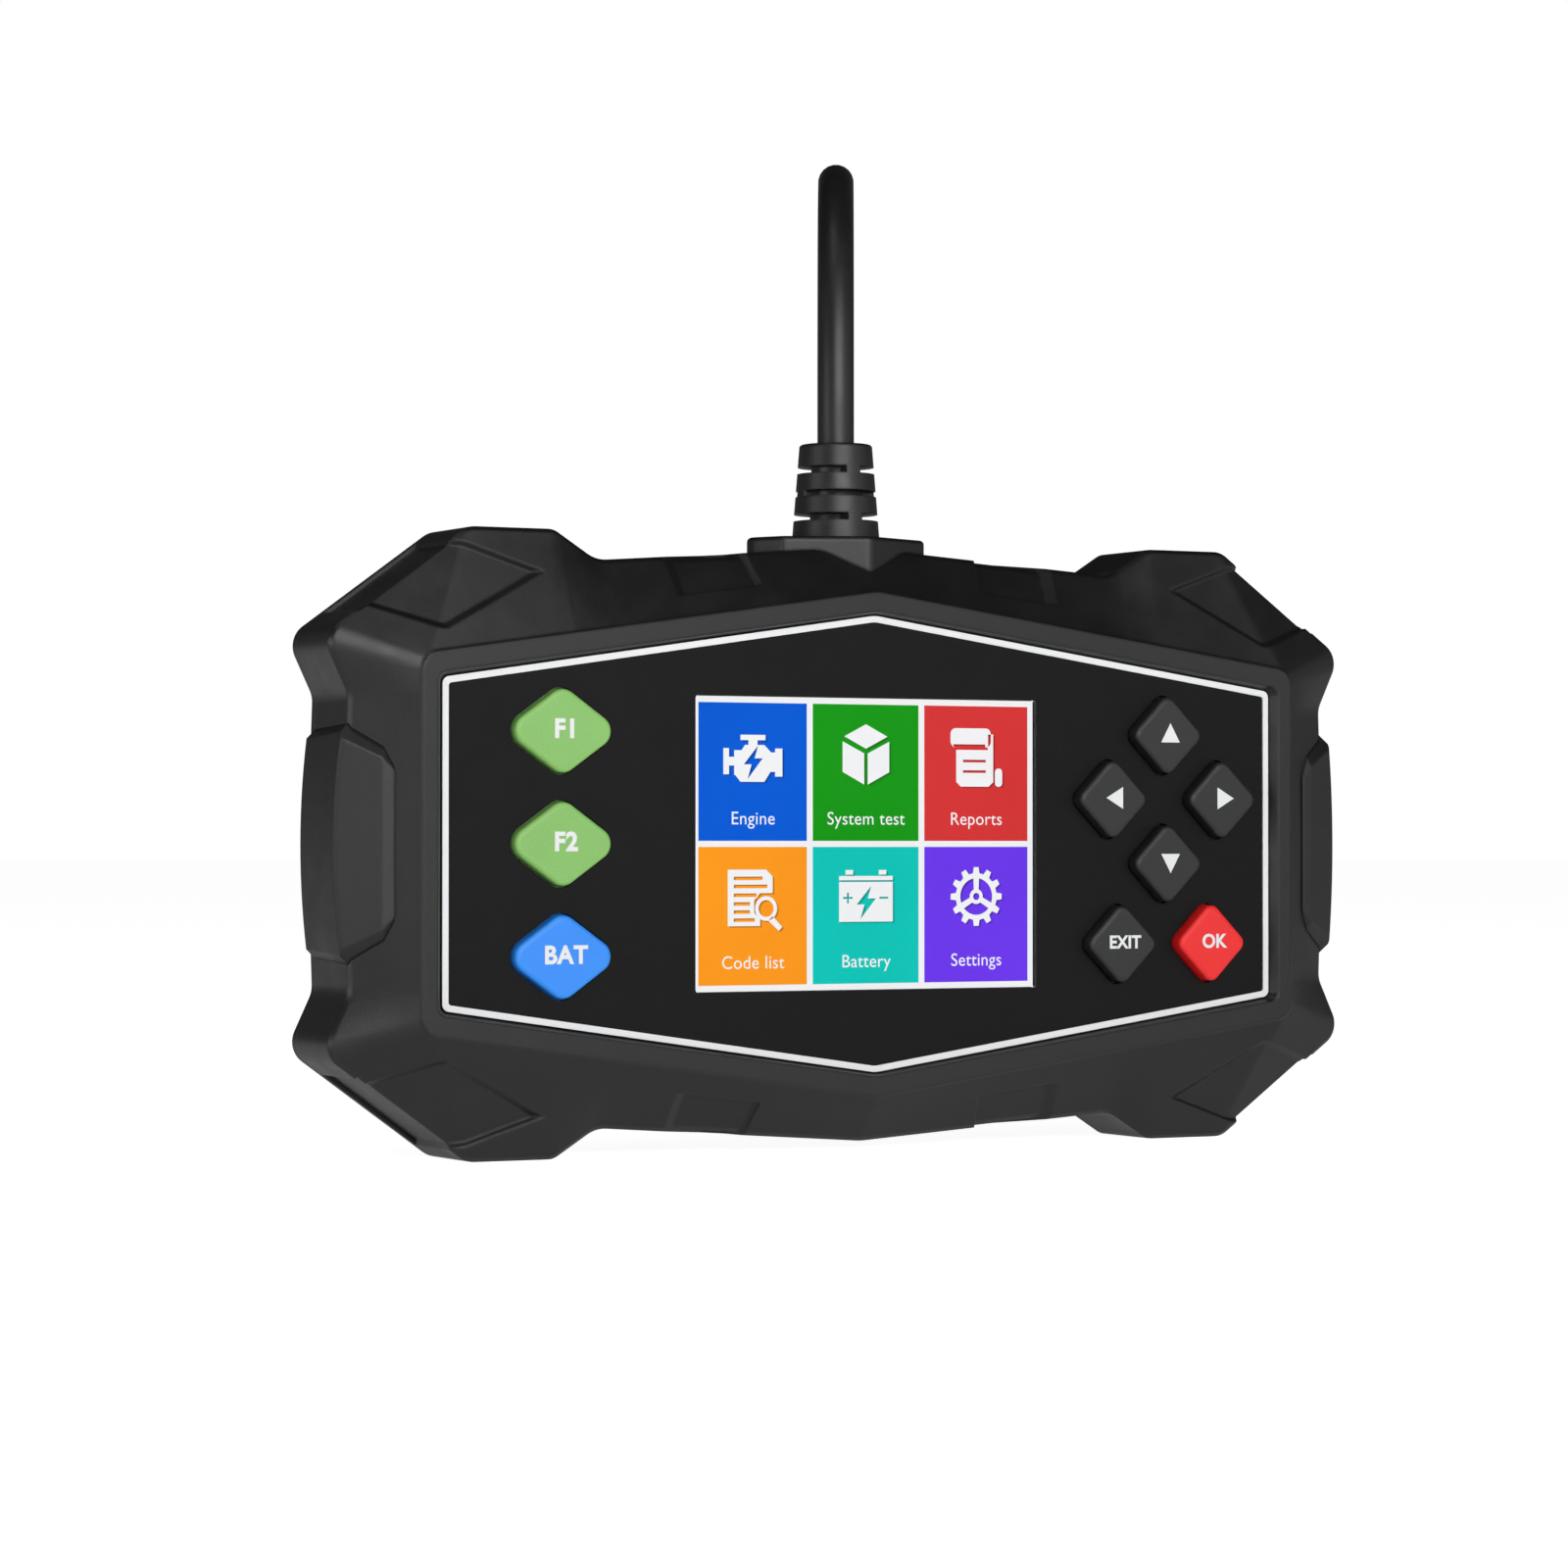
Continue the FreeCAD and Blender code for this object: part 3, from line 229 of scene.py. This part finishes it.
def moulded(name, colour, rough, grain=0.00030, depth=0.000012, mottle=0.12, radius=0.00035, edge_wear_and_highlight=1.5,
            specular=0.5):
    """Moulded plastic or rubber: fine grain, faint cloudiness, softly rounded edges lightened partly as
    rubbed wear and partly as a painted highlight.
    """
    s = Shader(name)
    cloud = s.noise(0.02, 4.0)
    fine = s.noise(grain, 2.0)
    soft = s.softened(radius)
    body = s.mix(s.between(cloud, 0.0, 1.0), shade(colour, 1 - mottle), shade(colour, 1 + mottle))
    speck = s.mix(s.between(fine, 0.0, 0.35), (0, 0, 0), (1, 1, 1))
    tint = s.add("ShaderNodeMix", data_type="RGBA", blend_type="SOFT_LIGHT")
    tint.inputs["Factor"].default_value = 0.25
    s.join(body, [i for i in tint.inputs if i.name == "A" and i.type == "RGBA"][0])
    s.join(speck, [i for i in tint.inputs if i.name == "B" and i.type == "RGBA"][0])
    grained = [o for o in tint.outputs if o.type == "RGBA"][0]
    # Edges are lightened in the base colour by the edge factor: partly rubbed wear, partly a painted
    # highlight where rounded edges would catch the light.
    s.join(s.mix(s.edge_mask(soft), grained, shade(colour, edge_wear_and_highlight)), s.surface.inputs["Base Color"])
    s.join(s.between(s.noise(0.006, 4.0), rough - 0.05, rough + 0.05), s.surface.inputs["Roughness"])
    s.join(s.bump(fine, depth, soft), s.surface.inputs["Normal"])
    s.set(Specular_IOR_Level=specular)
    return s.material


def metal(name, colour, rough, brushed=(1, 1, 1), depth=0.000006):
    s = Shader(name)
    lines = s.noise(0.0004, 3.0, stretch=brushed)
    tone = s.mix(s.between(lines, 0.0, 1.0), shade(colour, 0.82), shade(colour, 1.1))
    s.join(tone, s.surface.inputs["Base Color"])
    s.join(s.between(s.noise(0.003), rough - 0.07, rough + 0.09), s.surface.inputs["Roughness"])
    s.join(s.bump(lines, depth), s.surface.inputs["Normal"])
    s.set(Metallic=1.0)
    return s.material


def clear(name):
    """Hard-coated window: clear, with the faintest unevenness."""
    s = Shader(name)
    s.join(s.between(s.noise(0.004), 0.01, 0.04), s.surface.inputs["Roughness"])
    s.join(s.mix(s.noise(0.01), (0.97, 0.98, 1.0), (1.0, 1.0, 1.0)), s.surface.inputs["Base Color"])
    s.set(Transmission_Weight=1.0, IOR=1.04, Specular_IOR_Level=0.2)
    return s.material


def lit(name, colour, glow=1.0, fade=0.12):
    """Self-lit picture area: pixel grid, soft tone change, colour that comes from the light behind."""
    s = Shader(name)
    cloud = s.between(s.noise(0.03, 1.0), 0.0, 1.0)
    tone = s.mix(cloud, shade(colour, 1 - fade), shade(colour, 1 + fade * 0.5))
    wave = s.add("ShaderNodeTexWave", bands_direction="Z")
    wave.inputs["Scale"].default_value = 1100.0
    s.join(s.place, wave.inputs["Vector"])
    lined = s.mix(s.between(wave.outputs["Fac"], 0.0, 0.06, 0.0, 1.0), tone, (0, 0, 0))
    s.join(lined, s.surface.inputs["Emission Color"])
    s.join(s.mix(s.noise(0.02), shade(colour, 0.03), shade(colour, 0.05)), s.surface.inputs["Base Color"])
    s.set(Emission_Strength=glow, Roughness=0.45, Specular_IOR_Level=0.04)
    return s.material


def woven(name, colour):
    """Hook-and-loop strap: short looped pile over a weave."""
    s = Shader(name)
    pile = s.noise(0.0005, 4.0, 0.7)
    tone = s.mix(s.between(pile, 0.0, 1.0), shade(colour, 0.5), shade(colour, 1.7))
    s.join(tone, s.surface.inputs["Base Color"])
    s.join(s.bump(pile, 0.00025), s.surface.inputs["Normal"])
    s.set(Roughness=0.9, Sheen_Weight=0.4)
    return s.material


def laminate(name, colour):
    """Solder-masked board: copper traces showing faintly through, small bright pads."""
    s = Shader(name)
    brick = s.add("ShaderNodeTexBrick")
    brick.inputs["Scale"].default_value = 260.0
    brick.inputs["Mortar Size"].default_value = 0.03
    brick.inputs["Color1"].default_value = (*shade(colour, 0.9), 1)
    brick.inputs["Color2"].default_value = (*shade(colour, 1.15), 1)
    brick.inputs["Mortar"].default_value = (*shade(colour, 1.8), 1)
    turn = s.add("ShaderNodeMapping")
    turn.inputs["Rotation"].default_value = (math.pi / 2, 0, 0)
    s.join(s.place, turn.inputs["Vector"])
    s.join(turn.outputs["Vector"], brick.inputs["Vector"])
    s.join(brick.outputs["Color"], s.surface.inputs["Base Color"])
    s.join(s.bump(brick.outputs["Fac"], 0.00002), s.surface.inputs["Normal"])
    s.set(Roughness=0.3)
    return s.material


def label_sheet(name, colour):
    """Blank silver label with a printed frame of fine bars."""
    s = Shader(name)
    wave = s.add("ShaderNodeTexWave", bands_direction="Z")
    wave.inputs["Scale"].default_value = 60.0
    s.join(s.place, wave.inputs["Vector"])
    bars = s.between(wave.outputs["Fac"], 0.0, 0.5, 0.9, 0.96)
    speckle = s.mix(s.between(s.noise(0.0006), 0.0, 1.0), shade(colour, 0.92), shade(colour, 1.08))
    s.join(s.mix(bars, speckle, shade(colour, 0.55)), s.surface.inputs["Base Color"])
    s.join(s.bump(s.noise(0.002), 0.00001), s.surface.inputs["Normal"])
    s.set(Roughness=0.38, Metallic=0.3)
    return s.material


BLACK = (0.0085, 0.0087, 0.0092)
# The edge factors in these finishes lighten the edges: partly rubbed wear, partly a painted highlight.
KEY_FINISH = {"depth": 0.000006, "mottle": 0.05, "radius": 0.0008, "edge_wear_and_highlight": 1.3}
SLOT_LOOKS = {
    "shell_black": moulded("mould_shell", BLACK, 0.38, radius=0.0006),
    "grip_rubber": moulded("mould_grip", (0.0105, 0.0107, 0.0112), 0.44, grain=0.0002, radius=0.0006),
    "panel_black": moulded("overlay_black", (0.0056, 0.0056, 0.0059), 0.50, grain=0.0005, depth=0.000002,
                           mottle=0.05, radius=0.0001, edge_wear_and_highlight=1.2, specular=0.15),
    "trim_white": moulded("trim_white", (0.86, 0.87, 0.88), 0.35, mottle=0.03, radius=0.0001, edge_wear_and_highlight=1.05),
    "window_clear": clear("window_clear"),
    "lcd_dark": moulded("display_dark", (0.01, 0.012, 0.02), 0.15, mottle=0.05),
    "sheet_steel": metal("sheet_steel", (0.60, 0.61, 0.62), 0.35, (1, 1, 12)),
    "backlight_white": moulded("diffuser_white", (0.80, 0.82, 0.84), 0.6, mottle=0.03, edge_wear_and_highlight=1.0),
    "flex_orange": moulded("flex_orange", (0.55, 0.27, 0.05), 0.4),
    "foam_black": moulded("foam_black", (0.02, 0.02, 0.02), 0.9, grain=0.0008, depth=0.00008),
    "key_green": moulded("key_green", (0.270, 0.560, 0.150), 0.42, **KEY_FINISH),
    "key_blue": moulded("key_blue", (0.030, 0.300, 0.950), 0.42, **KEY_FINISH),
    "key_red": moulded("key_red", (0.900, 0.018, 0.018), 0.42, **KEY_FINISH),
    "key_grey": moulded("key_grey", (0.018, 0.0185, 0.020), 0.40, depth=0.000006, radius=0.0006, edge_wear_and_highlight=1.9),
    "silicone_clear": moulded("silicone", (0.62, 0.64, 0.66), 0.5, mottle=0.04, edge_wear_and_highlight=1.05),
    "dome_steel": metal("dome_steel", (0.66, 0.65, 0.62), 0.28),
    "board_green": laminate("board_green", (0.012, 0.14, 0.055)),
    "chip_black": moulded("epoxy_black", (0.02, 0.02, 0.022), 0.55, grain=0.00015),
    "can_metal": metal("can_metal", (0.70, 0.70, 0.70), 0.25),
    "can_alu": metal("can_aluminium", (0.75, 0.76, 0.78), 0.3, (1, 12, 1)),
    "ferrite": moulded("ferrite", (0.07, 0.07, 0.075), 0.7, grain=0.0004, depth=0.00004),
    "nylon_white": moulded("nylon_white", (0.70, 0.67, 0.58), 0.5, mottle=0.04, edge_wear_and_highlight=1.05),
    "wire_mixed": moulded("wire_red", (0.45, 0.05, 0.03), 0.4),
    "screw_zinc": metal("screw_zinc", (0.45, 0.45, 0.47), 0.3),
    "label_silver": label_sheet("label_silver", (0.42, 0.43, 0.45)),
    "lead_black": moulded("jacket_black", (0.0105, 0.0105, 0.0112), 0.42, grain=0.0006, depth=0.00001),
    "strap_black": woven("strap_black", (0.03, 0.03, 0.033)),
    "connector_black": moulded("nylon_black", (0.012, 0.012, 0.013), 0.46, grain=0.0004, depth=0.00003),
    "contact_block_grey": moulded("block_grey", (0.06, 0.06, 0.065), 0.55),
    "contact_tin": metal("contact_tin", (0.75, 0.72, 0.66), 0.25, (1, 12, 1)),
}


def dress_nodes():
    slots = {part["node"]: part["material_slot"] for part in frame["record"]["subparts"]}
    for name, node in nodes.items():
        for slot in node.material_slots:
            slot.material = SLOT_LOOKS[slots[name]]


# ---- flat artwork -------------------------------------------------------------------------------
CAPITAL = 0.73                      # height of a capital as a share of the font's size


def sheet_from(splines, name, look, depth=0.0):
    """Mesh on the x-z plane from closed 2-D loops in millimetres; a loop inside another is a hole."""
    curve = bpy.data.curves.new(name, "CURVE")
    curve.dimensions = "2D"
    curve.fill_mode = "BOTH"
    curve.extrude = depth / 2
    for loop in splines:
        spline = curve.splines.new("POLY")
        spline.points.add(len(loop) - 1)
        for point, (x, z) in zip(spline.points, loop):
            point.co = (x * MM, z * MM, 0, 1)
        spline.use_cyclic_u = True
    return flat_mesh(curve, name, look)


def words(text, size, name, look, depth=0.0, weight=0.0, spacing=1.0):
    """Lettering centred on the origin, size being the height of a capital in millimetres."""
    curve = bpy.data.curves.new(name, "FONT")
    curve.body = text
    curve.size = size * MM / CAPITAL
    curve.align_x = "CENTER"
    curve.align_y = "CENTER"
    curve.offset = weight * MM
    curve.extrude = depth / 2
    curve.space_character = spacing
    curve.resolution_u = 6
    return flat_mesh(curve, name, look)


def flat_mesh(curve, name, look):
    holder = bpy.data.objects.new(name + "_outline", curve)
    bpy.context.scene.collection.objects.link(holder)
    bpy.context.view_layer.update()
    mesh = bpy.data.meshes.new_from_object(holder.evaluated_get(bpy.context.evaluated_depsgraph_get()))
    bpy.data.objects.remove(holder)
    mesh.transform(Matrix.Rotation(math.pi / 2, 4, "X"))
    mesh.name = name
    mesh.materials.clear()
    mesh.materials.append(look)
    piece = bpy.data.objects.new(name, mesh)
    bpy.context.scene.collection.objects.link(piece)
    return piece


def put(piece, x, y, z, body):
    """Move the mesh itself, so that the object stays at the origin, and ride it on a body."""
    piece.data.transform(Matrix.Translation((x, y, z)))
    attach(piece, body)


def merge(pieces, name):
    """Join flat pieces that keep their own materials into one."""
    joined = bmesh.new()
    looks = []
    for piece in pieces:
        look = piece.data.materials[0]
        if look not in looks:
            looks.append(look)
        start = len(joined.faces)
        joined.from_mesh(piece.data)
        joined.faces.ensure_lookup_table()
        for face in joined.faces[start:]:
            face.material_index = looks.index(look)
    mesh = bpy.data.meshes.new(name)
    joined.to_mesh(mesh)
    joined.free()
    for look in looks:
        mesh.materials.append(look)
    for piece in pieces:
        bpy.data.objects.remove(piece)
    whole = bpy.data.objects.new(name, mesh)
    bpy.context.scene.collection.objects.link(whole)
    return whole


def shift(piece, x, y, z):
    piece.data.transform(Matrix.Translation((x * MM, y * MM, z * MM)))
    return piece


def disc(radius, count=32, x=0.0, z=0.0, start=0.0, end=360.0):
    whole = abs(end - start) >= 360.0
    steps = count if whole else count + 1
    out = []
    for i in range(steps):
        angle = math.radians(start + (end - start) * i / count)
        out.append((x + radius * math.cos(angle), z + radius * math.sin(angle)))
    return out


def oblong(x0, x1, z0, z1, radius=0.0, count=5):
    if radius <= 0:
        return [(x0, z0), (x1, z0), (x1, z1), (x0, z1)]
    out = []
    for cx, cz, start in ((x1 - radius, z1 - radius, 0), (x0 + radius, z1 - radius, 90),
                          (x0 + radius, z0 + radius, 180), (x1 - radius, z0 + radius, 270)):
        out += disc(radius, count, cx, cz, start, start + 90)
    return out


# ---- icons, in millimetres round each tile's own middle -----------------------------------------
BOLT = [(0.9, 2.4), (-1.6, -0.4), (-0.25, -0.4), (-0.95, -2.6), (1.7, 0.5), (0.3, 0.5)]


def icon_engine():
    body = [(-3.3, 1.3), (-2.0, 1.3), (-1.4, 2.1), (-0.8, 2.1), (-0.8, 2.8), (-2.2, 2.8), (-2.2, 3.6),
            (2.2, 3.6), (2.2, 2.8), (0.8, 2.8), (0.8, 2.1), (2.0, 2.1), (3.2, 1.0), (3.9, 1.0), (3.9, 1.6),
            (5.2, 1.6), (5.2, -2.6), (3.9, -2.6), (3.9, -1.9), (3.1, -1.9), (2.0, -3.4), (-2.2, -3.4),
            (-3.1, -2.4), (-3.3, -2.4), (-3.3, -1.0), (-4.2, -1.0), (-4.2, -2.3), (-5.2, -2.3), (-5.2, 1.6),
            (-4.2, 1.6), (-4.2, 0.3), (-3.3, 0.3)]
    bolt = [(x, z - 0.4) for x, z in BOLT]
    return [[(0.95 * x, z - 0.8) for x, z in loop] for loop in (body, bolt)]


def icon_cube():
    top = [(0, 4.6), (3.7, 2.75), (0, 0.9), (-3.7, 2.75)]
    left = [(-4.0, 2.0), (-0.3, 0.2), (-0.3, -4.5), (-4.0, -2.6)]
    right = [(-x, z) for x, z in left]
    return [top, left, right]


def icon_scroll():
    roll = oblong(-4.5, 2.6, 1.3, 4.2, 0.9)
    fold = oblong(-4.0, 1.6, 1.3, 1.75)
    sheet = [(-3.5, 0.9), (2.1, 0.9), (2.1, 3.3), (3.0, 3.3), (3.0, -4.0), (2.2, -4.7), (-2.7, -4.7),
             (-3.5, -4.0)]
    curl = oblong(3.3, 4.6, -4.7, -1.9, 0.6)
    bars = [oblong(-2.3, 1.7, z - 0.2, z + 0.2) for z in (-0.8, -2.4)]
    return [roll, fold, sheet, curl] + bars


def icon_document():
    page = [(-4.2, 4.2), (2.2, 4.2), (3.3, 3.2), (3.3, 0.7), (1.2, 0.7), (0.2, -0.4), (0.2, -2.2),
            (1.2, -3.2), (1.2, -4.2), (-4.2, -4.2)]
    ends = ((2.9, 1.6), (1.7, 2.4), (0.4, 0.6), (-0.9, -0.5), (-2.1, -0.5), (-3.3, 0.3))
    bars = [oblong(-3.2, right, z - 0.26, z + 0.26) for z, right in ends]
    return [page] + bars


def icon_lens():
    handle = [(3.25, -2.75), (4.9, -4.35), (4.35, -4.95), (2.7, -3.3)]
    return [disc(1.85, 32, 2.2, -1.6), disc(1.25, 32, 2.2, -1.6), handle]


def icon_battery():
    case = [(-4.6, 2.3), (4.6, 2.3), (4.6, -3.7), (-4.6, -3.7)]
    lid = [(-4.6, 3.2), (4.6, 3.2), (4.6, 2.55), (-4.6, 2.55)]
    posts = [oblong(-3.5, -2.2, 3.4, 4.1), oblong(2.2, 3.5, 3.4, 4.1)]
    bolt = [(x, z - 0.7) for x, z in BOLT]
    plus = [(-3.9, 0.05), (-3.25, 0.05), (-3.25, 0.7), (-2.95, 0.7), (-2.95, 0.05), (-2.3, 0.05),
            (-2.3, -0.25), (-2.95, -0.25), (-2.95, -0.9), (-3.25, -0.9), (-3.25, -0.25), (-3.9, -0.25)]
    minus = oblong(2.3, 3.8, -0.25, 0.05)
    return [case, lid, bolt, plus, minus] + posts


def icon_gear():
    teeth = 12
    rim = []
    for i in range(teeth):
        middle = 360.0 * i / teeth + 90.0
        for offset, radius in ((-9.0, 3.6), (-5.5, 4.5), (5.5, 4.5), (9.0, 3.6)):
            angle = math.radians(middle + offset)
            rim.append((radius * math.cos(angle), radius * math.sin(angle)))
    wedges = []
    for i in range(3):
        middle = 120.0 * i + 30.0
        outer = disc(2.8, 10, 0, 0, middle - 50, middle + 50)
        inner = disc(1.15, 6, 0, 0, middle + 38, middle - 38)
        wedges.append(outer + inner)
    return [rim] + wedges + [disc(0.55, 20)]


# ---- screen -------------------------------------------------------------------------------------
WHITE = lit("glow_white", (0.93, 0.93, 0.94), 0.95, 0.02)
TILE_WIDE, TILE_HIGH = 18.13, 20.55
COLUMN, ROW = 19.13, 21.45          # from one tile's middle to the next
ICON_UP, WORD_DOWN = 2.7, 7.0       # from a tile's middle
WORD_HIGH = 2.0
SHADOW_ASIDE, SHADOW_DOWN = 0.28, 0.2
LAYER = 0.01                        # each flat layer of the picture lies this far before the last
FILM = 0.03                         # from the display's glass out to the picture
EDGE = 0.05                         # the picture ends this far inside the window's outline
TILES = [
    ("blue", (0.001, 0.103, 0.66), -1, 1, icon_engine, "Engine"),
    ("green", (0.008, 0.315, 0.007), 0, 1, icon_cube, "System test"),
    ("red", (0.670, 0.036, 0.036), 1, 1, icon_scroll, "Reports"),
    ("orange", (1.0, 0.320, 0.012), -1, 0, icon_document, "Code list"),
    ("teal", (0.004, 0.570, 0.485), 0, 0, icon_battery, "Battery"),
    ("purple", (0.152, 0.040, 0.83), 1, 0, icon_gear, "Settings"),
]


def make_screen():
    """Lit picture behind the window: white field, six tiles, an icon and a plain word on each."""
    low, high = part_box("display_window")
    centre = (low + high) / 2
    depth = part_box("display_glass")[0].y - FILM * MM
    half_wide = (high.x - low.x) / 2 / MM - EDGE
    half_high = (high.z - low.z) / 2 / MM - EDGE
    made = [sheet_from([oblong(-half_wide, half_wide, -half_high, half_high)], "field", WHITE)]
    for name, colour, column, row, icon, word in TILES:
        x, z = column * COLUMN, (row - 0.5) * ROW
        look = lit("glow_" + name, colour, 1.0, 0.06)
        tile = oblong(-TILE_WIDE / 2, TILE_WIDE / 2, -TILE_HIGH / 2, TILE_HIGH / 2)
        made.append(shift(sheet_from([tile], name + "_tile", look), x, -LAYER, z))
        shadow = lit("glow_under_" + name, shade(colour, 0.55), 0.9, 0.0)
        groups = [icon()] + ([icon_lens()] if icon is icon_document else [])
        for loops in groups:
            under = sheet_from(loops, name + "_under", shadow)
            made.append(shift(under, x + SHADOW_ASIDE, -2 * LAYER, z + ICON_UP - SHADOW_DOWN))
            mark = sheet_from(loops, name + "_icon", WHITE)
            made.append(shift(mark, x, -3 * LAYER, z + ICON_UP))
        caption = words(word, WORD_HIGH, name + "_word", WHITE, spacing=1.04)
        made.append(shift(caption, x, -3 * LAYER, z - WORD_DOWN))
    picture = merge(made, "screen_picture")
    put(picture, centre.x, depth, centre.z, "case")


# ---- key legends --------------------------------------------------------------------------------
INK = moulded("legend_white", (0.84, 0.85, 0.86), 0.45, mottle=0.02, radius=0.00005, edge_wear_and_highlight=1.0)
ARROW = [(0.0, 1.7), (-1.7, -1.3), (1.7, -1.3)]
OFFSET = (0.25 * MM, 0.2 * MM)      # the marks sit a little right of and above the middle
PRINT = 0.04 * MM


def legend(key, piece):
    """Printed mark on the flat top of a key, riding with it."""
    low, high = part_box(key)
    x, z = (low.x + high.x) / 2 + OFFSET[0], (low.z + high.z) / 2 + OFFSET[1]
    put(piece, x, low.y - PRINT / 2, z, key)


def make_legends():
    for key, text in (("key_f1", "F1"), ("key_f2", "F2")):
        legend(key, words(text, 2.75, key + "_legend", INK, PRINT, 0.15, 1.08))
    legend("key_bat", words("BAT", 2.65, "key_bat_legend", INK, PRINT, 0.13, 1.08))
    legend("key_exit", words("EXIT", 2.0, "key_exit_legend", INK, PRINT, 0.09, 1.02))
    legend("key_ok", words("OK", 2.15, "key_ok_legend", INK, PRINT, 0.09, 1.02))
    for i, key in enumerate(("key_up", "key_left", "key_down", "key_right")):
        turn = math.radians(90 * i)
        cos, sin = math.cos(turn), math.sin(turn)
        loop = [(x * cos - z * sin, x * sin + z * cos) for x, z in ARROW]
        legend(key, sheet_from([loop], key + "_legend", INK, PRINT))


# ---- studio -------------------------------------------------------------------------------------
def make_floor():
    """Pale floor that looks as white as the sky and lights the object softly from below."""
    mesh = bpy.data.meshes.new("floor")
    build = bmesh.new()
    bmesh.ops.create_circle(build, cap_ends=True, radius=12.0, segments=96)
    build.to_mesh(mesh)
    build.free()
    floor = bpy.data.objects.new("floor", mesh)
    bpy.context.scene.collection.objects.link(floor)
    s = Shader("floor_pale")
    seen = s.add("ShaderNodeLightPath").outputs["Is Camera Ray"]
    s.join(s.mix(s.noise(0.3), (0.84, 0.84, 0.845), (0.87, 0.87, 0.875)), s.surface.inputs["Base Color"])
    s.join(s.between(seen, 0.30, 0.93, 0.0, 1.0), s.surface.inputs["Emission Strength"])
    s.set(Roughness=0.95, Specular_IOR_Level=0.0, Emission_Color=(1, 1, 1, 1))
    mesh.materials.append(s.material)


def soft_light(name, place, aim, size, power, colour=(1, 1, 1)):
    data = bpy.data.lights.new(name, "AREA")
    data.shape = "RECTANGLE"
    data.size, data.size_y = size
    data.energy = power
    data.color = colour
    light = bpy.data.objects.new(name, data)
    light.location = place
    light.rotation_euler = (Vector(aim) - Vector(place)).to_track_quat("-Z", "Y").to_euler()
    bpy.context.scene.collection.objects.link(light)


def make_sky():
    """Seen directly it is white. As a light it is a band at the horizon, brightest in front of the object
    and to its right, and dark overhead."""
    world = bpy.data.worlds.new("studio")
    world.use_nodes = True
    tree = world.node_tree

    def ramp(value, start, end, low, high):
        node = tree.nodes.new("ShaderNodeMapRange")
        node.interpolation_type = "SMOOTHSTEP"
        for name, number in (("From Min", start), ("From Max", end), ("To Min", low), ("To Max", high)):
            node.inputs[name].default_value = number
        tree.links.new(value, node.inputs["Value"])
        return node.outputs["Result"]

    def maths(operation, a, b):
        node = tree.nodes.new("ShaderNodeMath")
        node.operation = operation
        tree.links.new(a, node.inputs[0])
        tree.links.new(b, node.inputs[1])
        return node.outputs["Value"]

    place = tree.nodes.new("ShaderNodeTexCoord").outputs["Generated"]
    split = tree.nodes.new("ShaderNodeSeparateXYZ")
    tree.links.new(place, split.inputs["Vector"])
    toward = tree.nodes.new("ShaderNodeVectorMath")
    toward.operation = "DOT_PRODUCT"
    tree.links.new(place, toward.inputs[0])
    toward.inputs[1].default_value = (0.30, -0.954, 0.0)
    band = ramp(split.outputs["Z"], 0.19, 0.50, 1.0, 0.08)
    around = ramp(toward.outputs["Value"], 0.35, 0.95, 0.12, 1.05)
    light = maths("MULTIPLY", band, around)
    seen = tree.nodes.new("ShaderNodeLightPath").outputs["Is Camera Ray"]
    tree.links.new(maths("MAXIMUM", light, seen), tree.nodes["Background"].inputs["Strength"])
    tree.nodes["Background"].inputs["Color"].default_value = (1, 1, 1, 1)
    bpy.context.scene.world = world


def make_studio():
    make_floor()
    make_sky()
    bpy.context.scene.view_settings.view_transform = "Standard"
    soft_light("front_light", (-0.13, -1.09, 0.45), (0, 0, 0.05), (0.9, 0.4), 7.6)
    soft_light("side_light", (-1.05, -0.10, 0.12), (0, 0, 0.05), (0.6, 0.4), 2.5)
    soft_light("overhead_light", (-0.35, -0.25, 1.0), (0, 0, 0.05), (0.5, 0.4), 0.8)


make_camera()
lead = make_lead()
dress_nodes()
lead.data.materials.append(SLOT_LOOKS["lead_black"])
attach(lead, "case")
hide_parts("lead", "lead_coil", "lead_tail")
make_screen()
make_legends()
make_studio()
